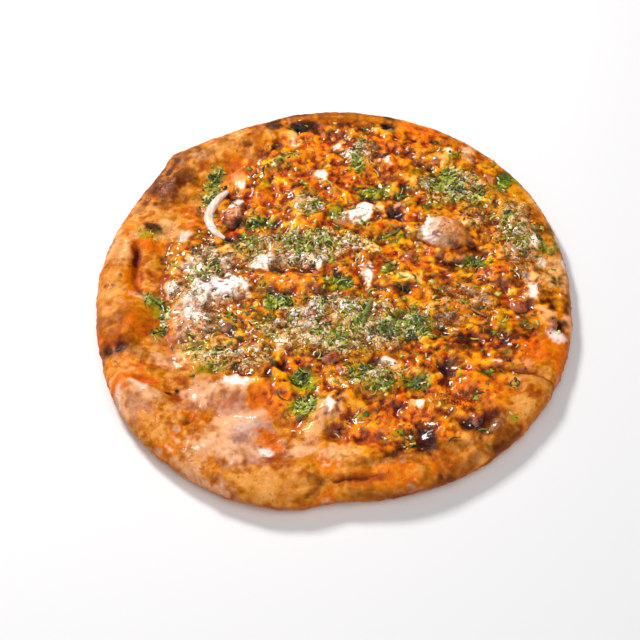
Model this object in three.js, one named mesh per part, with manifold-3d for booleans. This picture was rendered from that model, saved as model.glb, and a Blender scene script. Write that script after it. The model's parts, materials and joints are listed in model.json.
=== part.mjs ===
// A kulcha: a round leavened flatbread with a raised, uneven rim. Cheese, butter and spiced onion have melted into
// its middle and baked to one piece with it. Paneer, tomato, onion and torn coriander lie on top.
// Millimetres, +Z up. The bread rests on z = 0, and the origin is under the middle of the whole.
// +X is to the right and +Y to the back. Bearings are degrees from +X towards +Y.
import * as THREE from "three";
import { mergeVertices } from "three/addons/utils/BufferGeometryUtils.js";
import Module from "manifold-3d";

const wasm = await Module();
wasm.setup();

// ---------------------------------------------------------------- driving dimensions
const CENTRE_HEIGHT = 8; // bare dough in the middle
const TOPPING_THICKNESS = 2; // melted topping over it
const RIM_HEIGHT = 12; // crest of the rim, before its own swelling
const RIM_CREST = 12; // from the outline in to the crest
const NOSE_DEPTH = 6.5; // how far the rounded side stands out past the top surface
const GAP = 0.35; // air between a piece and what it lies on
const SEGMENTS = 90;

// Plan outline of the bread: bearing, radius. It is a hand-shaped round, a little longer than it is wide, with a
// blunt corner at the back left and a folded edge that steps in at the front.
const BREAD_OUTLINE = [
  [0, 114.5], [20, 117], [40, 121], [60, 123.5], [80, 125], [96, 124], [112, 121], [124, 120.4], [128.5, 121.3],
  [133, 123.2], [137, 120], [142, 117.3], [158, 114], [180, 114.5], [200, 117], [220, 124], [240, 128], [252, 129],
  [262, 127], [270, 122], [284, 122.5], [302, 122], [320, 119.5], [340, 116.5],
];

// Plan outline of the melted topping: it runs nearly to the edge at the right and stops well short of it at the left.
const TOPPING_OUTLINE = [
  [0, 105], [20, 107], [40, 109], [58, 112], [75, 107], [92, 101], [110, 93], [133, 95], [150, 92],
  [166, 88], [184, 84], [200, 86], [225, 93], [240, 91], [256, 86], [270, 88], [285, 98], [300, 104],
  [315, 102], [330, 99], [346, 103],
];

// How high the rim swells over RIM_HEIGHT: bearing, extra height.
const RIM_SWELL = [
  [0, -2], [60, -2], [110, -0.5], [150, 0.5], [180, 1], [215, 0.5], [250, 1.5], [290, 1], [325, -1],
];

// Blisters of the rim and lumps of the topping: x, y, half-length, half-width, turn of the long axis, height.
const BLISTERS = [
  [-42, -93, 17, 13, 60, 3.2],
  [-56, -97, 12, 9, 80, 1.4],
  [-97, -62, 10, 6, 130, 2.2],
  [-86, -68, 12, 4, 140, 2.2],
  [-98, -25, 14, 9, 80, 1.8],
  [-105, 8, 22, 7, 88, 1.8],
  [-68, 92, 16, 9, 35, 1.2],
  [12, -114, 15, 5, 5, 2],
  [-12, -112, 12, 8, 160, 1.6],
  [70, -98, 18, 6, 40, 1.2],
  [92, -66, 15, 8, 70, 1.6],
  [-18, 1, 16, 8, 170, 3.2],
  [82, 6, 11, 9, 20, 3],
  [-4, -76, 17, 7, 60, 3],
  [-43, -64, 14, 8, 20, 2.6],
  [-52, -2, 20, 10, 10, 2.4],
  [8, -66, 10, 7, 70, 2],
  [66, -58, 16, 7, 30, 2],
  [-26, -62, 10, 8, 0, 2],
  [38, 70, 12, 10, 0, 1.8],
  [-28, 84, 14, 9, 30, 1.8],
  [92, 44, 12, 8, 80, 1.6],
  [30, 4, 12, 9, 40, 1.6],
  [-70, 20, 12, 9, 70, 1.6],
  [20, 100, 16, 8, 170, 1.4],
  [-10, 42, 18, 12, 20, 1.4],
];

// Creases and hollows, as above, with the depth.
const CREASES = [
  [4, -117, 19, 3.5, 6, 3],
  [-96, 7, 15, 3.5, 92, 2.2],
  [-87, -61, 9, 3, 168, 2],
  [-66, -82, 7, 3, 65, 2],
  [92, -56, 11, 2.5, 165, 1.6],
  [-18, 9, 15, 6, 5, 1.6],
  [52, -52, 8, 7, 0, 2],
  [30, 46, 5, 4, 0, 1.8],
  [62, 14, 12, 5, 10, 1.6],
  [95, 17, 7, 3, 45, 1.4],
  [36, -92, 10, 6, 70, 1.4],
];

// ---------------------------------------------------------------- small helpers
const radians = THREE.MathUtils.degToRad;

// A smooth closed curve through a list of bearing and value, read at any bearing.
function aroundTheBread(list) {
  const laps = [-360, 0, 360].flatMap((turn) => list.map(([b, v]) => [b + turn, v]));
  return (bearing) => {
    const at = THREE.MathUtils.euclideanModulo(bearing, 360);
    const k = laps.findIndex(([b]) => b > at) - 1;
    const [p0, p1, p2, p3] = [laps[k - 1], laps[k], laps[k + 1], laps[k + 2]];
    const t = (at - p1[0]) / (p2[0] - p1[0]);
    const slope1 = ((p2[1] - p0[1]) / (p2[0] - p0[0])) * (p2[0] - p1[0]);
    const slope2 = ((p3[1] - p1[1]) / (p3[0] - p1[0])) * (p2[0] - p1[0]);
    const t2 = t * t;
    const t3 = t2 * t;
    return (
      (2 * t3 - 3 * t2 + 1) * p1[1] + (t3 - 2 * t2 + t) * slope1 + (3 * t2 - 2 * t3) * p2[1] + (t3 - t2) * slope2
    );
  };
}

// A smooth mound over an ellipse: 1 at its middle and 0 from its edge outwards.
function mound(x, y, [cx, cy, halfLength, halfWidth, turn]) {
  const c = Math.cos(radians(turn));
  const s = Math.sin(radians(turn));
  const along = ((x - cx) * c + (y - cy) * s) / halfLength;
  const across = ((y - cy) * c - (x - cx) * s) / halfWidth;
  const out = Math.min(1, Math.hypot(along, across) / 1.35);
  return (1 - out * out) ** 2;
}

const sumOfMounds = (x, y, list) => list.reduce((sum, m) => sum + m[5] * mound(x, y, m), 0);

// ---------------------------------------------------------------- heights
const breadRadius = aroundTheBread(BREAD_OUTLINE);
const toppingRadius = aroundTheBread(TOPPING_OUTLINE);
const rimSwell = aroundTheBread(RIM_SWELL);
const bearingOf = (x, y) => (Math.atan2(y, x) * 180) / Math.PI;

// Height of the visible top surface: a low middle with the topping on it, a rim round it, blisters and creases.
function surfaceHeight(x, y) {
  const bearing = bearingOf(x, y);
  const radius = Math.hypot(x, y);
  const inside = breadRadius(bearing) - radius;
  const crest = RIM_HEIGHT + rimSwell(bearing);
  const away = Math.abs(inside - RIM_CREST) / (inside > RIM_CREST ? 20 : 14);
  const bump = (1 - Math.min(1, away) ** 2) ** 2;
  const besideCrest = inside < RIM_CREST ? crest - 2.5 : CENTRE_HEIGHT;
  const dough = besideCrest + (crest - besideCrest) * bump;
  const overTopping = THREE.MathUtils.smoothstep(toppingRadius(bearing) - radius, 0, 9);
  const crumble = 0.5 * Math.sin(x / 6 + 1.7 * Math.sin(y / 9)) * Math.sin(y / 5 + 1.3 * Math.sin(x / 11));
  return (
    dough + overTopping * (TOPPING_THICKNESS + crumble) + sumOfMounds(x, y, BLISTERS) - sumOfMounds(x, y, CREASES)
  );
}

// ---------------------------------------------------------------- bread
const TOP_RINGS = 17;
const NOSE_ANGLES = [68, 38, 6, -30, -66];

// A ring of the visible surface. Rings are closer together near the rim than in the middle.
function surfaceRing(ring, lift = 0) {
  const share = (ring / TOP_RINGS) ** 0.85;
  return Array.from({ length: SEGMENTS }, (_, i) => {
    const bearing = (i * 360) / SEGMENTS;
    const radius = (breadRadius(bearing) - NOSE_DEPTH) * share;
    const x = radius * Math.cos(radians(bearing));
    const y = radius * Math.sin(radians(bearing));
    return new THREE.Vector3(x, y, surfaceHeight(x, y) + lift);
  });
}

// The rounded side: rings that leave the shoulder, stand out past it, and come back in over the foot.
function noseRings(shoulder, clear = 0) {
  return NOSE_ANGLES.map((angle) =>
    shoulder.map((p) => {
      const out = 1 + ((NOSE_DEPTH + clear) * Math.cos(radians(angle))) / Math.hypot(p.x, p.y);
      return new THREE.Vector3(p.x * out, p.y * out, (p.z / 2) * (1 + Math.sin(radians(angle))));
    }),
  );
}

// Closes a stack of rings, from a top middle point to a bottom middle point, into one geometry.
function closedRings(top, rings, bottom) {
  const positions = [top, ...rings.flat(), bottom].flatMap((p) => [p.x, p.y, p.z]);
  const last = rings.length * SEGMENTS + 1;
  const at = (ring, i) => 1 + ring * SEGMENTS + (i % SEGMENTS);
  const index = [];
  for (let i = 0; i < SEGMENTS; i++) {
    index.push(0, at(0, i), at(0, i + 1));
    index.push(last, at(rings.length - 1, i + 1), at(rings.length - 1, i));
    for (let ring = 0; ring + 1 < rings.length; ring++) {
      index.push(at(ring, i), at(ring + 1, i), at(ring + 1, i + 1));
      index.push(at(ring, i), at(ring + 1, i + 1), at(ring, i + 1));
    }
  }
  const geometry = new THREE.BufferGeometry();
  geometry.setAttribute("position", new THREE.Float32BufferAttribute(positions, 3));
  geometry.setIndex(index);
  geometry.computeVertexNormals();
  return geometry;
}

// The whole body, `clear` larger than the bread on its top and sides and standing on `floor`.
function breadBody(clear, floor) {
  const top = Array.from({ length: TOP_RINGS }, (_, k) => surfaceRing(k + 1, clear));
  const shoulder = top[TOP_RINGS - 1];
  const foot = shoulder.map((p) => new THREE.Vector3(p.x, p.y, floor));
  const middle = new THREE.Vector3(0, 0, surfaceHeight(0, 0) + clear);
  return closedRings(middle, [...top, ...noseRings(shoulder, clear), foot], new THREE.Vector3(0, 0, floor));
}

// ---------------------------------------------------------------- solids that the garnish is cut by
function solidOf(geometry) {
  const bare = geometry.index ? geometry.toNonIndexed() : geometry.clone();
  bare.deleteAttribute("normal");
  bare.deleteAttribute("uv");
  const merged = mergeVertices(bare, 1e-3);
  return new wasm.Manifold(
    new wasm.Mesh({
      numProp: 3,
      vertProperties: merged.attributes.position.array,
      triVerts: new Uint32Array(merged.index.array),
    }),
  );
}

function geometryOf(solid) {
  const mesh = solid.getMesh();
  const geometry = new THREE.BufferGeometry();
  geometry.setAttribute("position", new THREE.BufferAttribute(mesh.vertProperties, 3));
  geometry.setIndex(new THREE.BufferAttribute(mesh.triVerts, 1));
  geometry.computeVertexNormals();
  return geometry;
}

const ground = solidOf(breadBody(GAP, -CENTRE_HEIGHT));
const largestBody = (solid) => solid.decompose().reduce((best, s) => (s.volume() > best.volume() ? s : best));

// A piece that lies on the bread at a place: its own shape with the bread, and a gap round it, taken away.
function laidDown(geometry, x, y) {
  const z = surfaceHeight(x, y);
  const cut = geometryOf(largestBody(solidOf(geometry).subtract(ground))).translate(-x, -y, -z);
  const mesh = new THREE.Mesh(cut);
  mesh.position.set(x, y, z);
  return mesh;
}

// ---------------------------------------------------------------- shapes of the garnish
// A rounded, uneven lump over an ellipse on the surface.
function lump({ x, y, length, width, height, turn = 0 }) {
  const geometry = new THREE.IcosahedronGeometry(1, 2);
  const position = geometry.getAttribute("position");
  for (let i = 0; i < position.count; i++) {
    const p = new THREE.Vector3().fromBufferAttribute(position, i);
    const uneven = 1 + 0.07 * Math.sin(4 * p.x + 1.3 * x) + 0.06 * Math.sin(5 * p.y + 0.7 * y + 2 * p.z);
    position.setXYZ(i, p.x * uneven, p.y * uneven, p.z * uneven);
  }
  geometry.scale(length / 2, width / 2, height);
  geometry.rotateZ(radians(turn));
  geometry.translate(x, y, surfaceHeight(x, y));
  return laidDown(geometry, x, y);
}

// A strip with a rounded section and narrowing ends, along a curve over the surface.
function strip({ path, width, thickness, sides = 7, steps = 9, blunt = 0.45 }) {
  const lift = thickness * 0.3;
  const curve = new THREE.CatmullRomCurve3(path.map(([x, y]) => new THREE.Vector3(x, y, surfaceHeight(x, y) + lift)));
  const rings = Array.from({ length: steps + 1 }, (_, k) => {
    const t = k / steps;
    const p = curve.getPoint(t);
    p.z = Math.max(p.z, surfaceHeight(p.x, p.y) + lift);
    const tangent = curve.getTangent(t);
    const across = new THREE.Vector3(-tangent.y, tangent.x, 0).normalize();
    const taper = blunt + (1 - blunt) * Math.sin(Math.PI * t) ** 0.6;
    return Array.from({ length: sides }, (_, s) => {
      const a = (2 * Math.PI * s) / sides;
      return p
        .clone()
        .addScaledVector(across, Math.cos(a) * (width / 2) * taper)
        .add(new THREE.Vector3(0, 0, Math.sin(a) * (thickness / 2) * taper));
    });
  });
  return laidDown(closedTube(rings, sides), ...path[1]);
}

function closedTube(rings, sides) {
  const positions = rings.flat().flatMap((p) => [p.x, p.y, p.z]);
  const at = (ring, s) => ring * sides + (s % sides);
  const index = [];
  for (let ring = 0; ring + 1 < rings.length; ring++)
    for (let s = 0; s < sides; s++) {
      index.push(at(ring, s), at(ring, s + 1), at(ring + 1, s + 1));
      index.push(at(ring, s), at(ring + 1, s + 1), at(ring + 1, s));
    }
  for (let s = 1; s + 1 < sides; s++) {
    index.push(at(0, 0), at(0, s + 1), at(0, s));
    index.push(at(rings.length - 1, 0), at(rings.length - 1, s), at(rings.length - 1, s + 1));
  }
  const geometry = new THREE.BufferGeometry();
  geometry.setAttribute("position", new THREE.Float32BufferAttribute(positions, 3));
  geometry.setIndex(index);
  return geometry.toNonIndexed();
}

// A torn coriander leaf: three rounded lobes on a short stalk, lying on the surface along its slope.
const LEAF_THICKNESS = 0.8;
const LEAF_LOBES = 3;
function leaf({ x, y, size, turn }) {
  const outline = Array.from({ length: 18 }, (_, k) => {
    const a = (k / 18) * 2 * Math.PI;
    const lobes = 0.72 + 0.28 * Math.cos(LEAF_LOBES * a);
    return new THREE.Vector2(Math.cos(a), Math.sin(a)).multiplyScalar((size / 2) * lobes);
  });
  const geometry = new THREE.ExtrudeGeometry(new THREE.Shape(outline), {
    depth: LEAF_THICKNESS,
    bevelEnabled: false,
  });
  const reach = size / 3;
  const slopeX = (surfaceHeight(x + reach, y) - surfaceHeight(x - reach, y)) / (2 * reach);
  const slopeY = (surfaceHeight(x, y + reach) - surfaceHeight(x, y - reach)) / (2 * reach);
  const normal = new THREE.Vector3(-slopeX, -slopeY, 1).normalize();
  geometry.rotateZ(radians(turn));
  geometry.applyQuaternion(new THREE.Quaternion().setFromUnitVectors(new THREE.Vector3(0, 0, 1), normal));
  geometry.translate(x, y, surfaceHeight(x, y) + GAP + 0.3);
  return laidDown(geometry, x, y);
}

// ---------------------------------------------------------------- what lies on the bread
const PANEER = [
  { x: 56.5, y: 31, length: 29, width: 22, height: 8.5, turn: -12 },
  { x: 8, y: 45, length: 20, width: 17, height: 3, turn: 20 },
  { x: -36, y: 13, length: 17, width: 11, height: 3, turn: 80 },
  { x: -14, y: -26, length: 13, width: 8, height: 3, turn: 160 },
  { x: 17, y: 5, length: 14, width: 8, height: 3, turn: 110 },
  { x: -6, y: 73, length: 9, width: 8, height: 3.2, turn: 30 },
];

const TOMATO = [
  { x: -50, y: 47, length: 19, width: 12, height: 5.5, turn: 75 },
  { x: -52, y: -27, length: 10, width: 7, height: 3, turn: 20 },
  { x: 37, y: 16, length: 12, width: 8, height: 3, turn: 60 },
  { x: 88, y: -15, length: 11, width: 8, height: 3.2, turn: 130 },
  { x: -2, y: -46, length: 9, width: 7, height: 3, turn: 45 },
  { x: 63, y: -82, length: 10, width: 8, height: 3, turn: 100 },
];

const ONION = [
  { path: [[-54, 62], [-60, 54], [-63, 44], [-60, 34], [-54, 29]], width: 5, thickness: 3.4 },
  { path: [[92, 7], [94, 0], [97, -11]], width: 5.5, thickness: 3 },
  { path: [[96, 38], [97, 30], [99, 21]], width: 5, thickness: 3 },
  { path: [[85, 29], [88, 22], [91, 15]], width: 4, thickness: 2.6 },
  { path: [[76, 38], [76, 32], [77, 25]], width: 3.6, thickness: 2.4 },
  { path: [[67, 96], [69, 90], [72, 82]], width: 8, thickness: 3.4 },
  { path: [[79, 80], [80, 72], [80, 63]], width: 5.5, thickness: 3 },
  { path: [[50, 82], [53, 85], [56, 84]], width: 8, thickness: 3 },
  { path: [[33, -71], [36, -74], [39, -79]], width: 4, thickness: 2.6 },
  { path: [[69, -88], [73, -84], [77, -81]], width: 4.5, thickness: 2.6 },
  { path: [[-47, 72], [-46, 66], [-43, 63]], width: 4.5, thickness: 2.6 },
  { path: [[-10, 17], [-9, 10], [-9, 3]], width: 4, thickness: 2.6 },
  { path: [[22, -49], [25, -50], [27, -53]], width: 5, thickness: 2.6 },
  { path: [[100, -33], [102, -28], [104, -22]], width: 7, thickness: 4 },
];

const STEMS = [
  { path: [[18, -9], [15, -18], [12, -29]], width: 2.6, thickness: 1.6 },
  { path: [[-31, 82], [-25, 87], [-19, 89]], width: 2.2, thickness: 1.4 },
  { path: [[-56, -54], [-51, -52], [-46, -48]], width: 2.2, thickness: 1.5 },
  { path: [[-58, 79], [-60, 73], [-64, 66]], width: 1.8, thickness: 1.4 },
  { path: [[60, -14], [66, -17], [72, -21]], width: 2, thickness: 1.4 },
  { path: [[25, 30], [29, 33], [33, 36]], width: 2, thickness: 1.4 },
  { path: [[-89, -8], [-83, -12], [-81, -20]], width: 2.4, thickness: 1.5 },
];

const LEAVES = [
  { x: 57, y: 71, size: 12, turn: 20 },
  { x: 64, y: 63, size: 9, turn: 70 },
  { x: 88, y: 73, size: 10, turn: 100 },
  { x: 39, y: -22, size: 12, turn: 10 },
  { x: 26, y: -28, size: 10, turn: 50 },
  { x: 36, y: -34, size: 8, turn: 90 },
  { x: 14, y: -52, size: 9, turn: 30 },
  { x: 24, y: -62, size: 9, turn: 80 },
  { x: 36, y: -60, size: 8, turn: 15 },
  { x: -17, y: -59, size: 9, turn: 60 },
  { x: -13, y: -73, size: 10, turn: 0 },
  { x: 4, y: 0, size: 8, turn: 40 },
  { x: -28, y: -12, size: 10, turn: 25 },
  { x: -38, y: 39, size: 9, turn: 75 },
  { x: 71, y: 13, size: 8, turn: 45 },
  { x: 11, y: 84, size: 10, turn: 5 },
];

const CRUST = { color: 0xd0802f, roughness: 0.4 };
const PALE = { color: 0xf0d9b8, roughness: 0.35 };
const RED = { color: 0x9c3a1e, roughness: 0.35 };
const ONION_PALE = { color: 0xefd6c2, roughness: 0.3 };
const GREEN = { color: 0x5d7a24, roughness: 0.5 };

const kulcha = new THREE.Group();
const garnish = new THREE.Group();
kulcha.add(garnish);

function add(parent, name, mesh, finish) {
  mesh.name = name;
  mesh.material = new THREE.MeshStandardMaterial({ ...finish, metalness: 0 });
  parent.add(mesh);
}

function addAll(name, list, shape, finish) {
  list.forEach((item, i) => add(garnish, `${name}_${i + 1}`, shape(item), finish));
}

add(kulcha, "bread", new THREE.Mesh(breadBody(0, 0)), CRUST);
addAll("paneer_piece", PANEER, lump, PALE);
addAll("tomato_piece", TOMATO, lump, RED);
addAll("onion_slice", ONION, strip, ONION_PALE);
addAll("coriander_stem", STEMS, (stem) => strip({ ...stem, sides: 5, steps: 8 }), GREEN);
addAll("coriander_leaf", LEAVES, leaf, GREEN);

// The origin goes under the middle of the whole.
const centre = new THREE.Box3().setFromObject(kulcha, true).getCenter(new THREE.Vector3());
kulcha.children.forEach((child) => child.position.sub(new THREE.Vector3(centre.x, centre.y, 0)));

export default kulcha;
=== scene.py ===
# %% [markdown]
# # A buttered, topped kulcha
# A kulcha is a leavened flatbread. This one has a thick uneven rim, and cheese, butter and spiced onion
# have melted into its middle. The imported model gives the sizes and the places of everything, so it is
# loaded first, and the looks are built round it. All lengths in the shaping code are millimetres, and they
# become metres as a mesh is made.

# %% Load the frame
import bpy
import bmesh
import json
import math
import numpy as np
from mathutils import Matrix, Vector

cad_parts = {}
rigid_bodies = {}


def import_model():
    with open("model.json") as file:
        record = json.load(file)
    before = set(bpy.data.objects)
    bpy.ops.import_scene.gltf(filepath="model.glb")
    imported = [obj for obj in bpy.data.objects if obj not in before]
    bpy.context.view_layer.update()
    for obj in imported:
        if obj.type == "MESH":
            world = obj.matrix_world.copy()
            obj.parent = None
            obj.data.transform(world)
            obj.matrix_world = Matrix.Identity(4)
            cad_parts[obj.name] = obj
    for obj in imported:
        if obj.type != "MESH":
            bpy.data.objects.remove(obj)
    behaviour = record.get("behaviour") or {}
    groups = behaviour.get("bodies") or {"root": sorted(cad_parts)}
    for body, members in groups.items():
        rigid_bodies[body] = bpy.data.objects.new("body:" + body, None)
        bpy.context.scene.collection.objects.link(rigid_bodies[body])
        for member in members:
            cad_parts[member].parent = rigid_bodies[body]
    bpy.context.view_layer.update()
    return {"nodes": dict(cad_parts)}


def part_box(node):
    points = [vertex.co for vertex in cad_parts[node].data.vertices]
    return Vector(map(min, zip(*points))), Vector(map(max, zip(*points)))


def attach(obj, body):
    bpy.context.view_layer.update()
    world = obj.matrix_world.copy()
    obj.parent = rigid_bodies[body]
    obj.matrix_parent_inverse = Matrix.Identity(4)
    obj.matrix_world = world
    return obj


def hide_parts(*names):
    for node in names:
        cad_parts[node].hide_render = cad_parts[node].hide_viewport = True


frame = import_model()
MM = 0.001

# %% [markdown]
# ## Unevenness
# Nothing on a hand-made bread is smooth or regular. Blender has noise of its own, but a shape that colours
# and loose pieces must follow is easier to work out first as plain arrays. Two kinds are enough: soft waves
# on a random lattice for dough, and grains, the nearest-point pattern, for anything chopped or grated.

# %% Soft waves
def lattice(ix, iy, seed):
    n = (ix.astype(np.int64) * 374761393 + iy.astype(np.int64) * 668265263 + seed * 974711) & 0xFFFFFFFF
    n = ((n ^ (n >> 13)) * 1274126177) & 0xFFFFFFFF
    return ((n ^ (n >> 16)) & 0xFFFFFF) / 0xFFFFFF

def wave(x, y, size, seed):
    u, v = x / size, y / size
    iu, iv = np.floor(u), np.floor(v)
    fu, fv = u - iu, v - iv
    su, sv = fu * fu * (3 - 2 * fu), fv * fv * (3 - 2 * fv)
    low = lattice(iu, iv, seed) * (1 - su) + lattice(iu + 1, iv, seed) * su
    high = lattice(iu, iv + 1, seed) * (1 - su) + lattice(iu + 1, iv + 1, seed) * su
    return 2 * (low * (1 - sv) + high * sv) - 1

def rough(x, y, size, seed, octaves=3, gain=0.5):
    total, weight = 0.0, 0.0
    for k in range(octaves):
        c, s = math.cos(1.1 * k + 0.4), math.sin(1.1 * k + 0.4)
        total = total + gain ** k * wave(x * c - y * s, x * s + y * c, size / 2 ** k, seed + 17 * k)
        weight += gain ** k
    return total / weight

print("soft waves run from about", rough(np.arange(400.0), np.zeros(400), 9, 1).min().round(2), "upwards")

# %% Grains
def grains(x, y, size, seed, longer=1.0):
    """How far out in its grain each place is, from 0 to 1, and the grain's own number."""
    u, v = x / size, y / size
    iu, iv = np.floor(u), np.floor(v)
    first = np.full(np.shape(u), 9.0)
    number = np.zeros(np.shape(u))
    steps = 1 if longer < 1.3 else 2
    for du in range(-steps, steps + 1):
        for dv in range(-steps, steps + 1):
            cu, cv = iu + du, iv + dv
            dx = cu + lattice(cu, cv, seed) - u
            dy = cv + lattice(cu, cv, seed + 1) - v
            turn = math.pi * lattice(cu, cv, seed + 2)
            c, s = np.cos(turn), np.sin(turn)
            far = np.hypot((dx * c + dy * s) / longer, (dy * c - dx * s) * longer ** 0.5)
            nearer = far < first
            number = np.where(nearer, lattice(cu, cv, seed + 3), number)
            first = np.where(nearer, far, first)
    return first, number

print("grain numbers:", np.round(grains(np.arange(3.0), np.zeros(3), 1, 5)[1], 2))

# %% [markdown]
# ## The plan of the bread
# The outline is a hand-shaped round, drawn as a few bearings and radii with a smooth curve through them. It
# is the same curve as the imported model's, so the two shapes agree. The height and the colours are worked
# out as maps over the plan, half a millimetre to a cell, because blurring, hollows and patches are simple
# on a map.

# %% Outline and map
BREAD_OUTLINE = [
    (0, 114.5), (20, 117), (40, 121), (60, 123.5), (80, 125), (96, 124), (112, 121), (124, 120.4),
    (128.5, 121.3), (133, 123.2), (137, 120), (142, 117.3), (158, 114), (180, 114.5), (200, 117),
    (220, 124), (240, 128), (252, 129), (262, 127), (270, 122), (284, 122.5), (302, 122), (320, 119.5),
    (340, 116.5)]
TOPPING_OUTLINE = [
    (0, 105), (20, 107), (40, 109), (58, 112), (75, 107), (92, 101), (110, 93), (133, 95), (150, 92),
    (166, 88), (184, 84), (200, 86), (225, 93), (240, 91), (256, 86), (270, 88), (285, 98), (300, 104),
    (315, 102), (330, 99), (346, 103)]
RIM_SWELL = [
    (0, -2), (60, -2), (110, -0.5), (150, 0.5), (180, 1), (215, 0.5), (250, 1.5), (290, 1), (325, -1)]

def around(stops):
    bearing = np.array([b + lap for lap in (-360, 0, 360) for b, _ in stops], float)
    value = np.array([v for _ in range(3) for _, v in stops], float)
    slope = np.gradient(value)
    slope[1:-1] = (value[2:] - value[:-2]) / (bearing[2:] - bearing[:-2])
    def at(angle):
        angle = np.mod(angle, 360)
        k = np.searchsorted(bearing, angle, side="right") - 1
        step = bearing[k + 1] - bearing[k]
        t = (angle - bearing[k]) / step
        return ((2 * t**3 - 3 * t**2 + 1) * value[k] + (t**3 - 2 * t**2 + t) * slope[k] * step
                + (3 * t**2 - 2 * t**3) * value[k + 1] + (t**3 - t**2) * slope[k + 1] * step)
    return at

bread_radius, topping_radius = around(BREAD_OUTLINE), around(TOPPING_OUTLINE)
rim_swell = around(RIM_SWELL)
filling_edge = around([
    (0, 108), (20, 110), (40, 114), (58, 117), (75, 116), (92, 112), (110, 104), (133, 84), (150, 82),
    (166, 84), (184, 84), (200, 82), (225, 84), (240, 78), (256, 88), (270, 96), (285, 104), (300, 106),
    (315, 102), (330, 104), (346, 106)])
turns = np.arange(0, 360, 0.5)
edge_x = bread_radius(turns) * np.cos(np.radians(turns))
edge_y = bread_radius(turns) * np.sin(np.radians(turns))
low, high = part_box("bread")
SHIFT = np.array([(low[0] + high[0]) / 2 / MM - (edge_x.max() + edge_x.min()) / 2,
                  (low[1] + high[1]) / 2 / MM - (edge_y.max() + edge_y.min()) / 2])
CELL, SPAN = 0.5, 132
line = np.arange(-SPAN, SPAN + CELL / 2, CELL)
X, Y = np.meshgrid(line, line)
print("outline", np.ptp(edge_x).round(1), "by", np.ptp(edge_y).round(1), "mm, moved by", SHIFT.round(2))

# %% Map tools
def smooth(value, start, end):
    t = np.clip((value - start) / (end - start), 0, 1)
    return t * t * (3 - 2 * t)

def soften(field, radius):
    ky = np.fft.fftfreq(field.shape[0])[:, None]
    kx = np.fft.rfftfreq(field.shape[1])[None, :]
    blur = np.exp(-2 * (math.pi * radius / CELL) ** 2 * (kx**2 + ky**2))
    return np.fft.irfft2(np.fft.rfft2(field) * blur, field.shape)

def look_up(field, x, y):
    u = np.clip((x + SPAN) / CELL, 0, field.shape[1] - 1.001)
    v = np.clip((y + SPAN) / CELL, 0, field.shape[0] - 1.001)
    iu, iv = u.astype(int), v.astype(int)
    fu, fv = u - iu, v - iv
    return ((field[iv, iu] * (1 - fu) + field[iv, iu + 1] * fu) * (1 - fv)
            + (field[iv + 1, iu] * (1 - fu) + field[iv + 1, iu + 1] * fu) * fv)

def whole(spot):
    """A spot is x, y, half-length, half-width, turn and strength. A short one is round, level and full."""
    return (*spot, *(spot[2], 0.0, 1.0)[len(spot) - 3:])

def reach(x, y, spot):
    """How far out of a spot a place is: 0 at its middle, 1 on its line."""
    cx, cy, a, b, turn, _ = whole(spot)
    c, s = math.cos(math.radians(turn)), math.sin(math.radians(turn))
    return np.hypot(((x - cx) * c + (y - cy) * s) / a, ((y - cy) * c - (x - cx) * s) / b)

wander_x = X + 3.4 * rough(X, Y, 9, 11) + 1.2 * rough(X, Y, 2.6, 13, 2)
wander_y = Y + 3.4 * rough(X, Y, 9, 12) + 1.2 * rough(X, Y, 2.6, 14, 2)

def patches(spots, inner=0.6, outer=1.25):
    """A layer of ragged patches."""
    layer = np.zeros_like(X)
    for spot in spots:
        inside_it = 1 - smooth(reach(wander_x, wander_y, spot), inner, outer)
        layer = np.maximum(layer, whole(spot)[5] * inside_it)
    return layer

def mound(x, y, spot):
    out = np.minimum(1, reach(x, y, spot) / 1.35)
    return (1 - out**2) ** 2

def mounds(x, y, spots):
    """Rounded mounds as high as each spot's sixth number says, in millimetres."""
    return sum(spot[5] * mound(x, y, spot) for spot in spots)

print("map of", X.shape, "cells")

# %% [markdown]
# ## Height of the top
# The dough sinks in the middle under the topping and swells at the rim. Blisters stand up and folds cut in,
# each of them an ellipse with a height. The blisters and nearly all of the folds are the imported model's own.
# The smaller ones after them, and the chopped grain of the topping, are only here, where the mesh is fine
# enough to hold them.

# %% Large shape
BLISTERS = [
    (-42, -93, 17, 13, 60, 3.2), (-56, -97, 12, 9, 80, 1.4), (-97, -62, 10, 6, 130, 2.2),
    (-86, -68, 12, 4, 140, 2.2), (-98, -25, 14, 9, 80, 1.8), (-105, 8, 22, 7, 88, 1.8),
    (-68, 92, 16, 9, 35, 1.2), (12, -114, 15, 5, 5, 2), (-12, -112, 12, 8, 160, 1.6),
    (70, -98, 18, 6, 40, 1.2), (92, -66, 15, 8, 70, 1.6), (-18, 1, 16, 8, 170, 3.2), (82, 6, 11, 9, 20, 3),
    (-4, -76, 17, 7, 60, 3), (-43, -64, 14, 8, 20, 2.6), (-52, -2, 20, 10, 10, 2.4),
    (8, -66, 10, 7, 70, 2), (66, -58, 16, 7, 30, 2), (-26, -62, 10, 8, 0, 2), (38, 70, 12, 10, 0, 1.8),
    (-28, 84, 14, 9, 30, 1.8), (92, 44, 12, 8, 80, 1.6), (30, 4, 12, 9, 40, 1.6),
    (-70, 20, 12, 9, 70, 1.6), (20, 100, 16, 8, 170, 1.4), (-10, 42, 18, 12, 20, 1.4)]
CREASES = [
    (4, -117, 19, 3.5, 6, 3), (-96, 7, 15, 3.5, 92, 2.8), (-87, -61, 9, 3, 168, 2),
    (-66, -82, 7, 3, 65, 2), (92, -56, 11, 2.5, 165, 1.6), (-18, 9, 15, 6, 5, 1.6), (52, -52, 8, 7, 0, 2),
    (30, 46, 5, 4, 0, 1.8), (62, 14, 12, 5, 10, 1.6), (95, 17, 7, 3, 45, 1.4), (36, -92, 10, 6, 70, 1.4)]
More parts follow.
